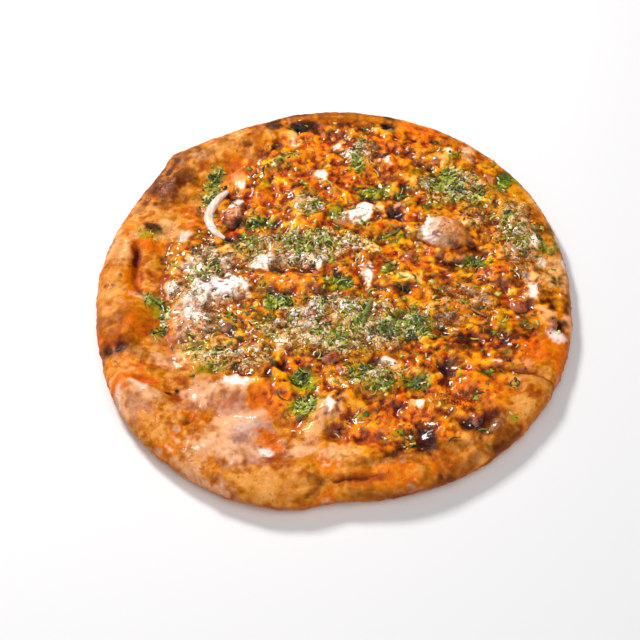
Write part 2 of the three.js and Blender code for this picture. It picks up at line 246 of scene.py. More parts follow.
SMALL_LUMPS = [
    (-98, -64, 6, 4, 120, 1.2), (-90, -70, 6, 3, 140, 1.2), (-85, -66, 4, 3, 140, 1),
    (-5, -97, 5, 4, 0, 1.2), (8, -92, 7, 2.5, 100, 1), (2, -102, 7, 2.5, 110, 1),
    (-25, -93, 7, 3, 60, 1.2), (-104, -12, 6, 5, 90, 1), (-96, -36, 7, 5, 70, 1.1),
    (-104, 30, 7, 5, 80, 1), (-100, 46, 6, 4, 70, 0.8), (-70, -104, 12, 5, 135, 1),
    (40, -110, 9, 4, 20, 1), (76, -88, 6, 4, 45, 0.9), (98, -44, 9, 4, 70, 1), (104, -20, 8, 4, 85, 0.9),
    (60, 96, 8, 5, 140, 1), (36, 104, 8, 4, 165, 0.9), (-48, 100, 9, 4, 30, 0.9), (-80, 66, 6, 4, 60, 0.7),
    (45, -72, 8, 5, 30, 1.1), (20, -84, 6, 4, 60, 0.9), (-62, -44, 8, 5, 120, 1), (-72, -8, 7, 5, 90, 0.9),
    (-14, 66, 8, 6, 0, 1), (14, 62, 7, 5, 30, 0.9), (44, 34, 6, 5, 90, 0.9), (74, 52, 8, 5, 60, 1),
    (56, 31, 22, 17, 110, 1.8), (-30, -30, 9, 6, 30, 1), (8, -20, 8, 5, 120, 0.9), (48, -20, 9, 5, 20, 1),
    (-36, 60, 7, 5, 60, 1)]
SMALL_FOLDS = [
    (88, -55, 8, 1.1, 170, 1.3), (99, -60, 5, 1.1, 160, 1.1), (13, -113, 9, 1.2, 8, 1.2),
    (-4, -113, 9, 1.4, 155, 1.6), (1, -122, 6, 1.3, 95, 1.6), (-95, 20, 7, 1.6, 80, 1.2),
    (-92, -6, 6, 1.6, 110, 1), (-66, -82, 6, 1.4, 65, 1.2), (54, -107, 7, 1.4, 20, 1),
    (-101, -40, 3, 2.5, 0, 0.9), (24, -103, 4, 2.5, 0, 0.8), (-80, 84, 8, 1.4, 40, 0.7),
    (-20, 108, 9, 2, 12, 0.8), (-78, -92, 8, 1.2, 128, 0.8), (-106, -50, 7, 1.2, 75, 0.7),
    (36, -4, 1.8, 2.6, 0, 1.6)]
CENTRE_HEIGHT, TOPPING_THICKNESS, RIM_HEIGHT, RIM_CREST, NOSE_DEPTH = 8, 2, 12, 12, 6.5

bearings = np.degrees(np.arctan2(Y, X))
radius = np.hypot(X, Y)
inside = bread_radius(bearings) - radius
crest = RIM_HEIGHT + rim_swell(bearings)
away = np.abs(inside - RIM_CREST) / np.where(inside > RIM_CREST, 20, 14)
beside = np.where(inside < RIM_CREST, crest - 2.5, CENTRE_HEIGHT)
dough = beside + (crest - beside) * (1 - np.minimum(1, away) ** 2) ** 2
ragged_edge = filling_edge(bearings) + 9 * rough(X, Y, 16, 21) + 3 * rough(X, Y, 5, 22)
topping = smooth(ragged_edge - radius, -8, 12)
crumble = 0.5 * np.sin(X / 6 + 1.7 * np.sin(Y / 9)) * np.sin(Y / 5 + 1.3 * np.sin(X / 11))
large = dough + smooth(topping_radius(bearings) - radius, 0, 9) * (TOPPING_THICKNESS + crumble)
large = large + mounds(X, Y, BLISTERS) - mounds(X, Y, CREASES)
print("large shape from", round(large[inside > 8].min(), 1), "to", round(large[inside > 8].max(), 1), "mm")

# %% [markdown]
# ## Where the colours lie
# Colour on a baked topping isn't random: char sits on the edge that met the heat, butter and melted cheese
# pool in pale patches, chilli oil stains the hollows. Some daubs are painted light too: thin dark daubs laid
# along the folds of the rim are partly painted shade, and a few small white and pale pink spots on the front
# bubble, the tomato lump and the left rim are painted highlights. Masks for each could be mixed in the
# material, but a dozen of them end up muddy. Instead the surface is painted, as a potter paints clay: ragged
# daubs of a few named colours, the largest first. Each daub is x, y, half-length, half-width, turn and
# strength.

# %% Palette and daubs
def shade(hexcode):
    """A colour as it looks on screen, turned into the light values that a shader wants."""
    parts = [int(hexcode[i:i + 2], 16) / 255 for i in (0, 2, 4)]
    return tuple(c / 12.92 if c < 0.04045 else ((c + 0.055) / 1.055) ** 2.4 for c in parts)

PALETTE = {
    "tan": "c06c30", "honey": "e2a05e", "orange": "e66c05", "amber": "ce7a14", "rust": "a4460e",
    "brown": "683010", "plum": "4c1e16", "char": "341006", "blush": "f2be98", "milk": "fdf2ea",
    "cream": "f4d49c", "straw": "d2a248", "olive": "949020", "leaf": "70961a", "moss": "222c0a",
    "scarlet": "d23c0a", "wine": "561406", "rose": "b48a80"}
DAUBS = {
    "rose": [
        (-38, -93, 15, 11, 55, 0.8), (-28, -101, 8, 8, 0, 0.6), (-62, -70, 12, 6, 30, 0.5),
        (-64, -24, 10, 10, 0, 0.45), (-60, 6, 14, 8, 0, 0.45), (-90, -72, 8, 4, 140, 0.5),
        (-70, -36, 8, 8, 0, 0.5), (-46, -72, 8, 5, 0, 0.5), (46, 36, 6, 8, 0, 0.5),
        (100, 4, 5, 12, 0, 0.4)],
    "honey": [
        (-104, 25, 6, 14, 0, 0.5), (-62, 90, 12, 6, 35, 0.8), (-52, 103, 12, 4, 25, 0.8),
        (-42, 109, 10, 3, 20, 0.7), (20, 118, 14, 4, 175, 0.5), (-4, 121, 12, 3, 5, 0.4),
        (-74, 58, 5, 9, 0, 0.6), (-106, -8, 6, 15, 0, 0.7), (-100, -52, 8, 9, 40, 0.6),
        (-90, -84, 10, 6, 135, 0.7), (-75, -99, 13, 6, 140, 0.7), (-55, -113, 14, 5, 155, 0.7),
        (-26, -116, 22, 6, 175, 0.8), (10, -119, 13, 3.4, 3, 0.95), (14, -104, 10, 5, 160, 0.6),
        (-12, -96, 14, 7, 35, 0.8), (62, -104, 12, 5, 30, 0.5), (86, -77, 10, 7, 50, 0.7),
        (97, -62, 6, 8, 150, 0.6), (105, -45, 4, 9, 20, 0.6), (80, 76, 3.4, 10, 0, 0.8),
        (84, 55, 6, 6, 0, 0.5), (50, -112, 12, 3, 25, 0.4), (108, -10, 4, 8, 0, 0.6),
        (-82, 44, 8, 6, 20, 0.6)],
    "orange": [
        (-4, 92, 18, 10, 0, 0.9), (-30, 62, 14, 9, 20, 0.9), (5, 72, 14, 8, 0, 0.7),
        (-10, 38, 10, 6, 30, 0.5), (45, 108, 15, 6, 150, 0.9), (68, 101, 11, 4, 140, 0.85),
        (40, 92, 12, 8, 0, 0.7), (-48, 80, 10, 7, 30, 0.7), (-40, 52, 6, 8, 0, 0.9),
        (98, 42, 6, 14, 170, 0.4), (72, 46, 10, 6, 30, 0.7), (82, 10, 10, 7, 0, 0.95),
        (13, 17, 5, 5, 0, 0.9), (-38, 4, 6, 5, 0, 0.9), (36, 11, 10, 5, 0, 0.6),
        (-92, -61, 11, 3.4, 168, 0.95), (70, -22, 14, 7, 150, 0.8), (95, -42, 10, 8, 0, 0.9),
        (52, -66, 16, 8, 20, 0.9), (30, -80, 16, 7, 10, 0.85), (10, -91, 12, 7, 20, 0.8),
        (-30, -68, 10, 8, 60, 0.9), (-30, -93, 5, 8, 30, 0.7), (-95, -30, 7, 10, 0, 0.6),
        (-98, 8, 5, 18, 0, 0.6), (-80, 5, 4, 8, 0, 0.4), (-88, 24, 7, 6, 0, 0.6), (-22, 3, 10, 6, 0, 0.8),
        (45, -89, 8, 6, 0, 0.7), (20, -111, 14, 3, 5, 0.5), (48, -8, 14, 8, 20, 0.7),
        (62, -52, 10, 6, 0, 0.7), (-56, 64, 6, 10, 160, 0.5), (24, 96, 10, 6, 0, 0.7),
        (-14, 76, 10, 6, 0, 0.6), (92, 62, 8, 10, 30, 0.5), (104, -35, 5, 6, 0, 0.5),
        (-66, -114, 16, 3, 145, 0.4), (76, -64, 10, 5, 30, 0.6)],
    "amber": [
        (-94, -22, 10, 14, 0, 0.5), (-104, 34, 8, 10, 20, 0.4), (-12, -106, 8, 4, 170, 0.4),
        (40, 78, 16, 8, 20, 0.5), (88, 30, 12, 14, 0, 0.4), (0, 20, 12, 6, 0, 0.4),
        (76, 30, 8, 10, 0, 0.5), (16, -68, 14, 6, 20, 0.5), (-78, 30, 8, 8, 0, 0.5)],
    # The thin rust daubs laid along the folds of the rim are partly painted shade, as well as browning.
    "rust": [
        (12, 115, 34, 6, 176, 0.45), (-104, -46, 5, 5, 0, 0.4), (-6, -6, 12, 4, 5, 0.75),
        (-16, 9, 6, 6, 0, 0.8), (26, 75, 14, 6, 0, 0.75), (62, 17, 13, 7, 20, 0.85),
        (30, 46, 7, 5, 0, 0.9), (58, 0, 14, 6, 160, 0.6), (82, -30, 18, 8, 165, 0.85),
        (64, -40, 12, 6, 0, 0.5), (58, -79, 20, 5, 10, 0.7), (-15, -50, 8, 7, 0, 0.9),
        (0, -46, 7, 6, 0, 0.7), (-56, -28, 6, 5, 0, 0.8), (-42, -35, 6, 7, 0, 0.5),
        (-66, 22, 5, 5, 0, 0.8), (-97, 9, 2.4, 14, 3, 0.95), (-100, -22, 8, 11, 0, 0.45),
        (-105, -38, 5, 9, 10, 0.6), (12, -114.5, 15, 2, 5, 0.95), (-25, -104, 6, 6, 30, 0.8),
        (-63, -84, 2.6, 8, 165, 0.6), (-50, 42, 7, 9, 0, 0.9), (20, 87, 5, 8, 0, 0.6),
        (8, 104, 18, 6, 0, 0.55), (75, 88, 10, 5, 130, 0.8), (100, 15, 7, 2.6, 45, 0.6),
        (46, -104, 10, 4, 20, 0.7), (-82, -97, 16, 3, 138, 0.5), (-46, -121, 22, 2.6, 165, 0.6),
        (100, -70, 16, 3, 55, 0.5), (10, 52, 24, 3, 5, 0.3), (72, 70, 5, 8, 0, 0.5),
        (50, 60, 6, 5, 0, 0.5), (-28, 43, 8, 5, 20, 0.4), (90, -14, 7, 6, 0, 0.7), (44, -50, 8, 8, 0, 0.5),
        (22, -124, 20, 2.4, 8, 0.6), (-106, 40, 4, 12, 20, 0.5), (-112, -20, 3, 20, 0, 0.5),
        (-8, -64, 4, 5, 0, 0.4)],
    "brown": [
        (104, 36, 2, 5, 0, 0.7), (98, 8, 1.6, 5, 20, 0.7), (105, -15, 2, 4, 0, 0.6),
        (107, 21, 1.6, 4, 0, 0.8), (100, -4, 1.4, 4, 20, 0.7), (95, 20, 1.6, 4, 30, 0.7),
        (78, -96, 20, 5, 40, 0.7), (88, -80, 12, 6, 55, 0.5), (50, -98, 20, 5, 15, 0.6),
        (-2, 115, 26, 4, 3, 0.35), (50, 110, 14, 3, 155, 0.5), (-78, 58, 6, 6, 0, 0.5),
        (20, -106, 16, 3, 5, 0.5), (96, -72, 5, 8, 20, 0.5), (-90, -44, 6, 3, 130, 0.4),
        (2, -118, 6, 3, 90, 0.5), (-76, 70, 10, 6, 60, 0.8), (-66, 86, 7, 5, 30, 0.6),
        (-84, 58, 6, 10, 150, 0.7), (-93, 60, 4, 9, 155, 0.85), (-46, 95, 6, 3, 10, 0.6),
        (-15, 109, 9, 5, 0, 0.7), (14, 108, 8, 4, 0, 0.5), (54, -52, 7, 6, 0, 0.75),
        (70, -85, 13, 6, 25, 0.7), (38, -93, 9, 10, 0, 0.7), (54, -107, 9, 2.6, 25, 0.7),
        (-98, -40, 6, 7, 0, 0.6), (-103, -25, 5, 6, 0, 0.4), (-8, -115, 6, 2, 150, 0.6),
        (64, 10, 11, 4, 0, 0.7), (-80, 84, 9, 5, 40, 0.7), (-58, 96, 5, 3, 20, 0.4),
        (-98, 48, 5, 5, 0, 0.5), (34, -5, 4, 5, 0, 0.6), (57, 103, 6, 2.4, 145, 0.7),
        (-72, -88, 9, 2, 128, 0.4), (112, -4, 2.6, 12, 0, 0.6)],
    "plum": [
        (-31, 108, 5, 4, 20, 0.8), (-16, 110, 7, 5, 0, 0.95), (28, 111, 4, 6, 60, 0.8),
        (5, 110, 4, 3, 0, 0.7), (15, 102, 4, 3, 0, 0.6), (-86, 78, 5, 12, 155, 0.85),
        (62, -84, 6, 4, 0, 0.9), (40, -95, 5, 8, 0, 0.8), (24, -102, 3.4, 3, 0, 0.7),
        (-99, -41, 2.4, 3, 0, 0.7), (104, -28, 3, 6, 0, 0.8), (-76, 69, 4, 6, 60, 0.6),
        (-70, 90, 4, 2.6, 20, 0.5), (72, -95, 6, 2, 40, 0.5), (-46, 95, 3, 2, 0, 0.5)],
    # The thin char lines laid in the folds of the front right rim are partly painted shade.
    "char": [
        (-88, 80, 4.5, 12, 154, 0.95), (-94, 68, 4, 10, 154, 0.9), (-82, 88, 6, 3, 35, 0.9),
        (-88, 66, 5, 6, 150, 0.6), (-17, 108, 4, 2.6, 0, 0.7), (-91, 35, 4, 2.6, 0, 0.9),
        (106, -27, 2.2, 4.4, 0, 0.95), (112, 0, 1.8, 5, 0, 0.8), (36, -5, 1.8, 3, 0, 0.95),
        (63, -84, 3, 2, 0, 0.8), (-101, -41, 1.8, 2.6, 0, 0.9), (-104, 2, 1.0, 1, 0, 0.7),
        (-106, -4, 0.9, 1, 0, 0.7), (-101, -6, 1.0, 1, 0, 0.7), (-103, 12, 0.8, 1, 0, 0.6),
        (-101, 22, 0.8, 1, 0, 0.6), (-86, 56, 1.8, 1.4, 0, 0.7), (-90, 51, 1.6, 1.4, 0, 0.7),
        (86, -55, 6, 0.8, 176, 0.9), (97, -58, 7, 0.8, 158, 0.9), (-73, -64, 1.8, 1.4),
        (-77, -66, 1.6, 1.4), (-66, -82, 1.2, 4, 160, 0.7), (-30, 109, 3, 2, 20, 0.6),
        (39, -97, 2.4, 3, 0, 0.7), (-51, 2, 1.1), (-54, -2, 1), (-47, 1, 0.9), (-51, -4, 0.9)],
    # The thin blush daub on the front of the left rim, beside a milk one, is a painted highlight.
    "blush": [
        (-60, -8, 18, 30, 0, 0.6), (-72, 10, 8, 14, 0, 0.8), (-70, -18, 9, 14, 0, 0.8),
        (-60, -33, 12, 7, 0, 0.6), (-50, 22, 10, 6, 0, 0.7), (-30, 20, 8, 8, 0, 0.5),
        (-44, -84, 16, 13, 60, 0.9), (-50, -100, 12, 6, 150, 0.8), (-62, -66, 9, 7, 0, 0.8),
        (-90, -66, 8, 3, 150, 0.6), (-45, -62, 10, 6, 0, 0.8), (-34, -98, 6, 7, 0, 0.8),
        (-5, -79, 14, 6, 55, 0.75), (0, -68, 8, 5, 0, 0.6), (-48, 71, 5, 8, 0, 0.6),
        (-22, 100, 7, 4, 0, 0.7), (55, 84, 6, 5, 0, 0.8), (70, 94, 7, 4, 140, 0.8),
        (51, 31, 5, 9, 30, 0.9), (59, 40, 8, 3.4, 0, 0.6), (97, 0, 4, 14, 5, 0.8), (98, 30, 3, 8, 0, 0.8),
        (101, -20, 5, 8, 20, 0.7), (88, -50, 6, 4, 0, 0.5), (36, -73, 4, 3, 0, 0.9),
        (-16, -98, 8, 4, 20, 0.8), (-77, -47, 8, 5, 0, 0.7), (80, -60, 8, 4, 0, 0.4),
        (66, -48, 8, 5, 0, 0.4), (-52, 46, 3, 3, 0, 0.7), (-103, 18, 4, 8, 0, 0.3),
        (0, -98, 8, 3, 30, 0.6), (84, 22, 3, 7, 150, 0.6), (-70, 84, 5, 4, 40, 0.3),
        (-60, -98, 6, 8, 150, 0.5), (-84, -70, 6, 3, 140, 0.6), (12, 104, 6, 3, 0, 0.4),
        (-40, 84, 6, 5, 0, 0.4)],
    # Some of these spots are painted highlights: those on the front bubble, on the tomato lump and on the
    # front of the left rim.
    "milk": [
        (-54, -3, 14, 8, 12), (-68, -14, 5, 8, 0, 0.6), (-64, 4, 6, 8, 0, 0.8), (-68, 12, 5, 4, 0, 0.6),
        (13, 47, 5, 8, 0), (-36, 14, 6, 6, 0, 0.9), (-8, 13, 3.4, 5, 0, 0.8), (17, 6, 3.4, 6, 0, 0.9),
        (-30, -100, 4, 4, 0, 0.95), (-45, -60, 6, 4, 0, 0.8), (-49, 52, 3.4, 3, 0, 0.8),
        (9, 88, 3, 3, 0, 0.8), (3, 96, 3, 2, 0, 0.8), (-6, 73, 4, 3.4, 0, 0.9), (29, 84, 2.4, 2.4, 0, 0.7),
        (24, -49, 3, 2, 0, 0.9), (96, -6, 2.4, 5, 0, 0.6), (99, 27, 2.4, 5, 0, 0.8),
        (101, 14, 2.2, 4, 20, 0.6), (-3, -75, 2, 3, 0, 0.7), (103, -33, 3, 3, 0, 0.8),
        (-42, -85, 8, 4, 50, 0.15), (-78, -3, 3, 4, 0, 0.7), (-8, -15, 3, 4, 0, 0.7),
        (-14, -26, 5, 3, 0, 0.7), (-26, -38, 4, 4, 0, 0.5), (110, 12, 2, 3, 0, 0.7),
        (-90, -64, 5, 1.6, 150, 0.4), (-47, 66, 3, 3, 0, 0.7), (60, 91, 3, 2, 0, 0.6),
        (-20, 97, 3, 2, 0, 0.6), (38, -73, 2, 2, 0, 0.8), (-74, 30, 3, 5, 0, 0.5),
        (-62, -22, 4, 4, 0, 0.5), (76, -48, 3, 2, 0, 0.6), (35, 52, 3, 2, 0, 0.6)],
    "cream": [
        (-6, 28, 14, 5, 0, 0.5), (-20, -32, 14, 6, 0, 0.55), (2, -28, 8, 10, 0, 0.5),
        (-60, -46, 12, 6, 0, 0.5), (60, 50, 10, 5, 0, 0.3), (104, 10, 4, 10, 0, 0.5),
        (92, 48, 6, 10, 0, 0.4), (-18, 55, 8, 5, 0, 0.5), (46, -14, 8, 4, 0, 0.4),
        (8, -98, 10, 4, 30, 0.5), (-84, 36, 6, 8, 0, 0.4), (-52, 104, 10, 3, 25, 0.6),
        (70, -104, 12, 2.6, 38, 0.4)],
    "straw": [
        (-25, 25, 22, 9, 10, 0.6), (-30, -38, 24, 8, 0, 0.5), (6, -22, 14, 10, 0, 0.6),
        (10, 30, 14, 5, 0, 0.5), (-55, -45, 14, 7, 0, 0.4), (65, 60, 16, 9, 0, 0.5),
        (88, 42, 10, 13, 0, 0.5), (40, 30, 10, 5, 0, 0.5), (0, -40, 12, 5, 0, 0.5), (90, 18, 9, 8, 0, 0.4),
        (-80, 20, 6, 12, 0, 0.4), (30, -12, 12, 4, 0, 0.5), (95, 60, 7, 9, 0, 0.5),
        (-14, 52, 9, 6, 0, 0.5)],
    "olive": [
        (20, 62, 9, 6, 20, 0.9), (2, 44, 5, 7, 0, 0.8), (25, 10, 5, 4, 0, 0.7), (-29, 85, 8, 2.6, 35, 0.8),
        (80, -26, 4, 5, 0, 0.6), (-34, 68, 5, 4, 0, 0.5), (50, 52, 4, 4, 0, 0.7), (14, -55, 6, 5, 0, 0.7),
        (38, -60, 6, 4, 0, 0.7), (-56, -53, 9, 4, 0, 0.6), (44, 78, 6, 5, 0, 0.5), (-6, -14, 6, 5, 0, 0.5),
        (28, 30, 8, 3, 20, 0.5), (14, 40, 5, 6, 0, 0.3)],
    "leaf": [
        (57, 71, 9, 7, 0, 0.8), (64, 60, 8, 5, 0, 0.6), (32, -27, 13, 8, 0, 0.7), (2, -1, 6, 5, 0, 0.8),
        (-27, -12, 6, 7, 0, 0.7), (-15, -60, 5, 7, 0, 0.9), (-13, -74, 6, 5, 0, 0.8),
        (22, -62, 5, 4, 0, 0.8), (-38, 40, 8, 4, 0, 0.8), (12, 84, 2.4, 9, 0, 0.8),
        (-62, 62, 4, 13, 170, 0.7), (-85, -15, 3.4, 11, 25, 0.6), (88, 68, 4, 9, 150, 0.9),
        (110, 8, 2, 6, 0, 0.7), (70, 14, 6, 4, 0, 0.7), (14, -18, 2.4, 10, 165, 0.9),
        (68, -55, 3, 3, 0, 0.7), (82, -81, 3, 2, 0, 0.6), (-94, 28, 3, 2, 0, 0.7),
        (62, 86, 6, 2.6, 30, 0.6)],
    "moss": [
        (12, 88, 2, 5, 0, 0.8), (-60, 72, 3.4, 7, 160, 0.8), (-84, -12, 2.6, 7, 30, 0.9),
        (-80, -28, 1.8, 6, 0, 0.8), (28, 110, 3, 4, 60, 0.7), (-28, -9, 3.4, 5, 0, 0.7),
        (86, 73, 3, 5, 150, 0.8), (-17, -58, 2.6, 5, 0, 0.8), (-13, -70, 3.4, 3, 0, 0.6),
        (3, 2, 3, 2.4, 0, 0.8), (33, 58, 4, 2.4, 0, 0.6), (-88, 33, 4, 1.6, 0, 0.6),
        (102, 26, 1.8, 8, 0, 0.9), (100, 36, 2, 3, 0, 0.8), (106, 3, 1.4, 4, 0, 0.8),
        (70, 12, 3, 2.4, 0, 0.7), (24, -28, 3, 3, 0, 0.5), (40, -24, 3, 3, 0, 0.5),
        (-68, 48, 2, 5, 0, 0.5)],
    "scarlet": [
        (-45, -12, 4, 4, 0, 0.8), (-20, 17, 3.4, 3.4, 0, 0.8), (5, -54, 4, 5, 0, 0.9),
        (-18, -50, 3, 3, 0, 0.7), (25, 77, 6, 2.6, 0, 0.7), (-50, 33, 4, 3, 0, 0.8),
        (-54, -26, 3, 3, 0, 0.6), (77, 90, 4, 2.6, 130, 0.7), (-40, -36, 3, 3, 0, 0.7),
        (-35, 54, 3, 4, 0, 0.6), (40, 20, 4, 3, 0, 0.6), (-10, 24, 3, 2, 0, 0.5),
        (88, -38, 8, 3, 165, 0.5), (60, -70, 8, 3, 0, 0.4)],
    # The wine daubs along the left rim's fold and the front fold are partly painted shade.
    "wine": [
        (30, 46, 5, 4, 0, 0.85), (-48, 40, 4, 5, 0, 0.7), (80, -32, 12, 4, 165, 0.6),
        (-7, -44, 5, 5, 0, 0.8), (68, -82, 9, 3.4, 20, 0.8), (62, 14, 10, 3, 0, 0.6),
        (52, -54, 4, 4, 0, 0.6), (-57, -29, 3, 3, 0, 0.6), (40, -92, 5, 7, 0, 0.6),
        (-97, 14, 2.6, 7, 0, 1), (-94, -4, 2, 4, 20, 0.6), (5, -115, 9, 1.4, 5, 0.7)]}

def near(spot, room=9):
    """The part of the map that a spot can touch."""
    half = 1.4 * max(spot[2], spot[3]) + room
    def cells(at):
        return slice(max(0, int((at - half + SPAN) / CELL)), max(0, int((at + half + SPAN) / CELL)))
    return cells(spot[1]), cells(spot[0])

def blend(share, first, second):
    return first * (1 - share[..., None]) + np.array(second) * share[..., None]

def everywhere(colour):
    return np.broadcast_to(colour, X.shape + (3,))

def marbled(names, size, seed):
    """Streaks of the named colours, each melting into the next."""
    tone = rough(wander_x, wander_y, size, seed, 4) + 0.25 * rough(X, Y, size / 5, seed + 1, 2)
    tone = 0.5 + 0.75 * tone
    names = names.split()
    field = everywhere(ground[names[0]])
    for k, name in enumerate(names[1:]):
        middle = (k + 1) / len(names)
        field = blend(smooth(tone, middle - 0.07, middle + 0.07), field, ground[name])
    return field

ground = {name: np.array(shade(code)) for name, code in PALETTE.items()}
filling = marbled("plum brown rust orange amber olive orange scarlet orange straw cream blush", 9, 71)
crust_paint = marbled("rust tan honey tan honey orange blush", 14, 73)
paint = blend(topping, crust_paint, filling)
broken = 0.45 * rough(X, Y, 4, 81, 3) + 0.3 * rough(X, Y, 1.6, 82, 2)
daubs = [(whole(spot), name) for name, spots in DAUBS.items() for spot in spots]
daubs.sort(key=lambda daub: -daub[0][2] * daub[0][3])
for k, (spot, name) in enumerate(daubs):
    part = near(spot)
    small = min(spot[2], spot[3])
    stray = 0.3 + 0.7 * min(1, small / 5)
    mixed_x = X[part] + (wander_x - X)[part] * stray
    mixed_y = Y[part] + (wander_y - Y)[part] * stray
    torn = np.roll(broken, (37 * k, 53 * k), (0, 1))[part]
    ragged = reach(mixed_x, mixed_y, spot) + torn * (1.1 if small > 2 else 0.5)
    share = spot[5] * (1 - smooth(ragged, 0.6, 1.2))
    paint[part] = blend(share, paint[part], ground[name])

# Heat and stirring break every daub up: colours stray into their neighbours, and no patch keeps one depth.
def strayed(field, far, size, seed):
    x, y = X + far * rough(X, Y, size, seed, 2), Y + far * rough(X, Y, size, seed + 3, 2)
    return np.stack([look_up(field[..., k], x, y) for k in range(3)], -1)

paint = blend(0.7 * topping, paint, strayed(paint, 3, 2.8, 95))
depth = 0.5 * rough(X, Y, 9, 97, 3) + 0.6 * rough(X, Y, 3, 98, 2) + 0.45 * rough(X, Y, 1.4, 99, 1)
depth = depth * (0.55 + 0.55 * topping)
lighter, darker = np.clip(depth, 0, 1), np.clip(-depth, 0, 1)[..., None]
milky = smooth(paint[..., 2], 0.2, 0.5)
glow = blend(topping, everywhere(shade("ffc698")), shade("ffb04e"))
glow = blend(milky * (0.3 + 0.7 * topping), glow, shade("fff2ea"))
shadow = blend(milky, everywhere((0.8, 1.2, 1.5)), (0.75, 0.9, 0.95))
lit = smooth(paint.mean(-1), 0.03, 0.18) * (1 - 0.8 * milky * (1 - topping))
paint = blend(0.7 * lighter * (0.8 + 0.2 * topping) * lit, paint, glow)
paint = paint * (1 - darker * shadow).clip(0.04, 1)
tone = paint.mean(-1)
contrast = np.clip(tone / soften(tone, 5), 0.15, 1.7) ** (0.1 + 0.95 * topping)
paint = paint * contrast[..., None]
print(len(daubs), "daubs; mean colour of the top:", paint[inside > 6].mean(0).round(3))

# %% Where the small stuff lies thick
GREEN = [
    (-62, 67, 5, 14, 160, 0.9), (-87, -10, 7, 3, 150), (-82, -24, 2.6, 14, 0), (-25, 86, 8, 2.6, 35, 0.7),
    (12, 85, 2.6, 9, 0, 0.9), (57, 70, 11, 8, 20), (64, 60, 8, 6, 0, 0.8), (62, 86, 6, 3, 20, 0.7),
    (88, 70, 5, 9, 150, 0.9), (50, 52, 5, 4, 0, 0.6), (20, 62, 8, 5, 0, 0.5), (35, 59, 5, 3, 0, 0.6),
    (26, 12, 5, 4, 40, 0.6), (-27, -12, 6, 6, 0, 0.9), (2, 0, 7, 5, 20, 0.9), (32, -27, 15, 10, 10),
    (12, -52, 7, 6, 0, 0.8), (21, -61, 8, 5, 40, 0.9), (37, -60, 6, 4, 0, 0.8), (12, -78, 4, 3, 0, 0.6),
    (-15, -60, 5, 7, 0), (-13, -73, 7, 6, 0), (69, -56, 3, 3, 0, 0.8), (82, -62, 3, 3, 0, 0.7),
    (82, -81, 3, 3, 0, 0.7), (32, -93, 3, 3, 0, 0.5), (90, -26, 5, 4, 0, 0.5), (110, 9, 2.5, 6, 0, 0.8),
    (102, 27, 2.5, 10, 0, 0.8), (-57, -53, 10, 4, 15, 0.8), (-6, -15, 6, 4, 40, 0.8),
    (14, -19, 3, 11, 165), (-31, -4, 6, 2, 135, 0.8), (70, 14, 6, 4, 30, 0.8), (-38, 40, 8, 5, 0, 0.9),
    (4, 44, 5, 6, 0, 0.5), (-42, 24, 8, 8, 40, 0.6), (30, 31, 10, 3, 15, 0.7), (66, -16, 8, 3, 155, 0.5),
    (-14, 28, 14, 7, 0, 0.7), (52, -6, 6, 4, 0, 0.4), (-48, -24, 8, 9, 0, 0.5), (-92, 31, 5, 3, 0, 0.8),
    (-33, -24, 8, 7, 0, 0.7), (-64, 8, 8, 10, 0, 0.5), (6, -34, 14, 8, 0, 0.6), (92, 30, 8, 12, 0, 0.4),
    (72, 58, 12, 8, 0, 0.4), (-10, 52, 6, 5, 0, 0.6), (-60, -40, 12, 6, 0, 0.5)]
BUSY = [
    (-62, -8, 20, 40, 0), (-20, 22, 46, 14, 5), (5, -26, 46, 20, 0), (-48, -46, 22, 10, 0, 0.9),
    (60, 66, 20, 14, 0, 0.9), (92, 30, 14, 34, 0, 0.8), (-12, 53, 10, 8, 0), (62, -14, 24, 20, 0, 0.55),
    (-62, 64, 7, 18, 165), (72, 46, 12, 10, 0, 0.6), (14, 88, 12, 10, 0, 0.7), (60, -70, 24, 10, 0, 0.4),
    (14, -56, 20, 10, 0, 0.7), (-30, 78, 16, 8, 0, 0.4), (-84, 20, 6, 14, 0, 0.5)]
herb = patches(GREEN, 0.4, 1.35)
busy = np.maximum(patches(BUSY, 0.3, 1.4), 0.22) * topping
# The pale pools are melted butter and cheese, with a few painted highlights among them.
pale_pools_and_highlights = [spot for spot in DAUBS["milk"] + DAUBS["blush"] if spot[2] * spot[3] > 20]
smooth_spots = patches(pale_pools_and_highlights, 0.5, 1.2)
busy = busy * (1 - 0.8 * smooth_spots)
clumps = smooth(rough(X, Y, 8, 87, 2), -0.35, 0.35)
chopped = 0.6 * np.clip(busy - 0.2, 0, 1) / 0.8
paint = blend(chopped * (1 - 0.7 * herb) * (0.4 + 0.6 * clumps), paint, shade("fde2bc"))
paint = blend(0.35 * np.clip(herb, 0, 1), paint, ground["leaf"])
print("herbs and chopped bits cover", herb[inside > 0].mean().round(2), busy[inside > 0].mean().round(2))

# %% Grain of the topping
far_big, number_big = grains(wander_x, wander_y, 4.6, 31, 1.9)
far_small, number_small = grains(X + 0.8 * rough(X, Y, 3, 33), Y, 2.3, 32, 1.9)
crumbs = 0.85 * (0.2 + 0.8 * number_big) * (1 - smooth(far_big, 0.1, 0.8))
crumbs = crumbs + 0.55 * (0.4 + 0.6 * number_small) * (1 - smooth(far_small, 0.1, 0.75))

def wrinkles(size, seed):
    return 1 - 2 * np.abs(rough(wander_x, wander_y, size, seed, 2)) / 0.5

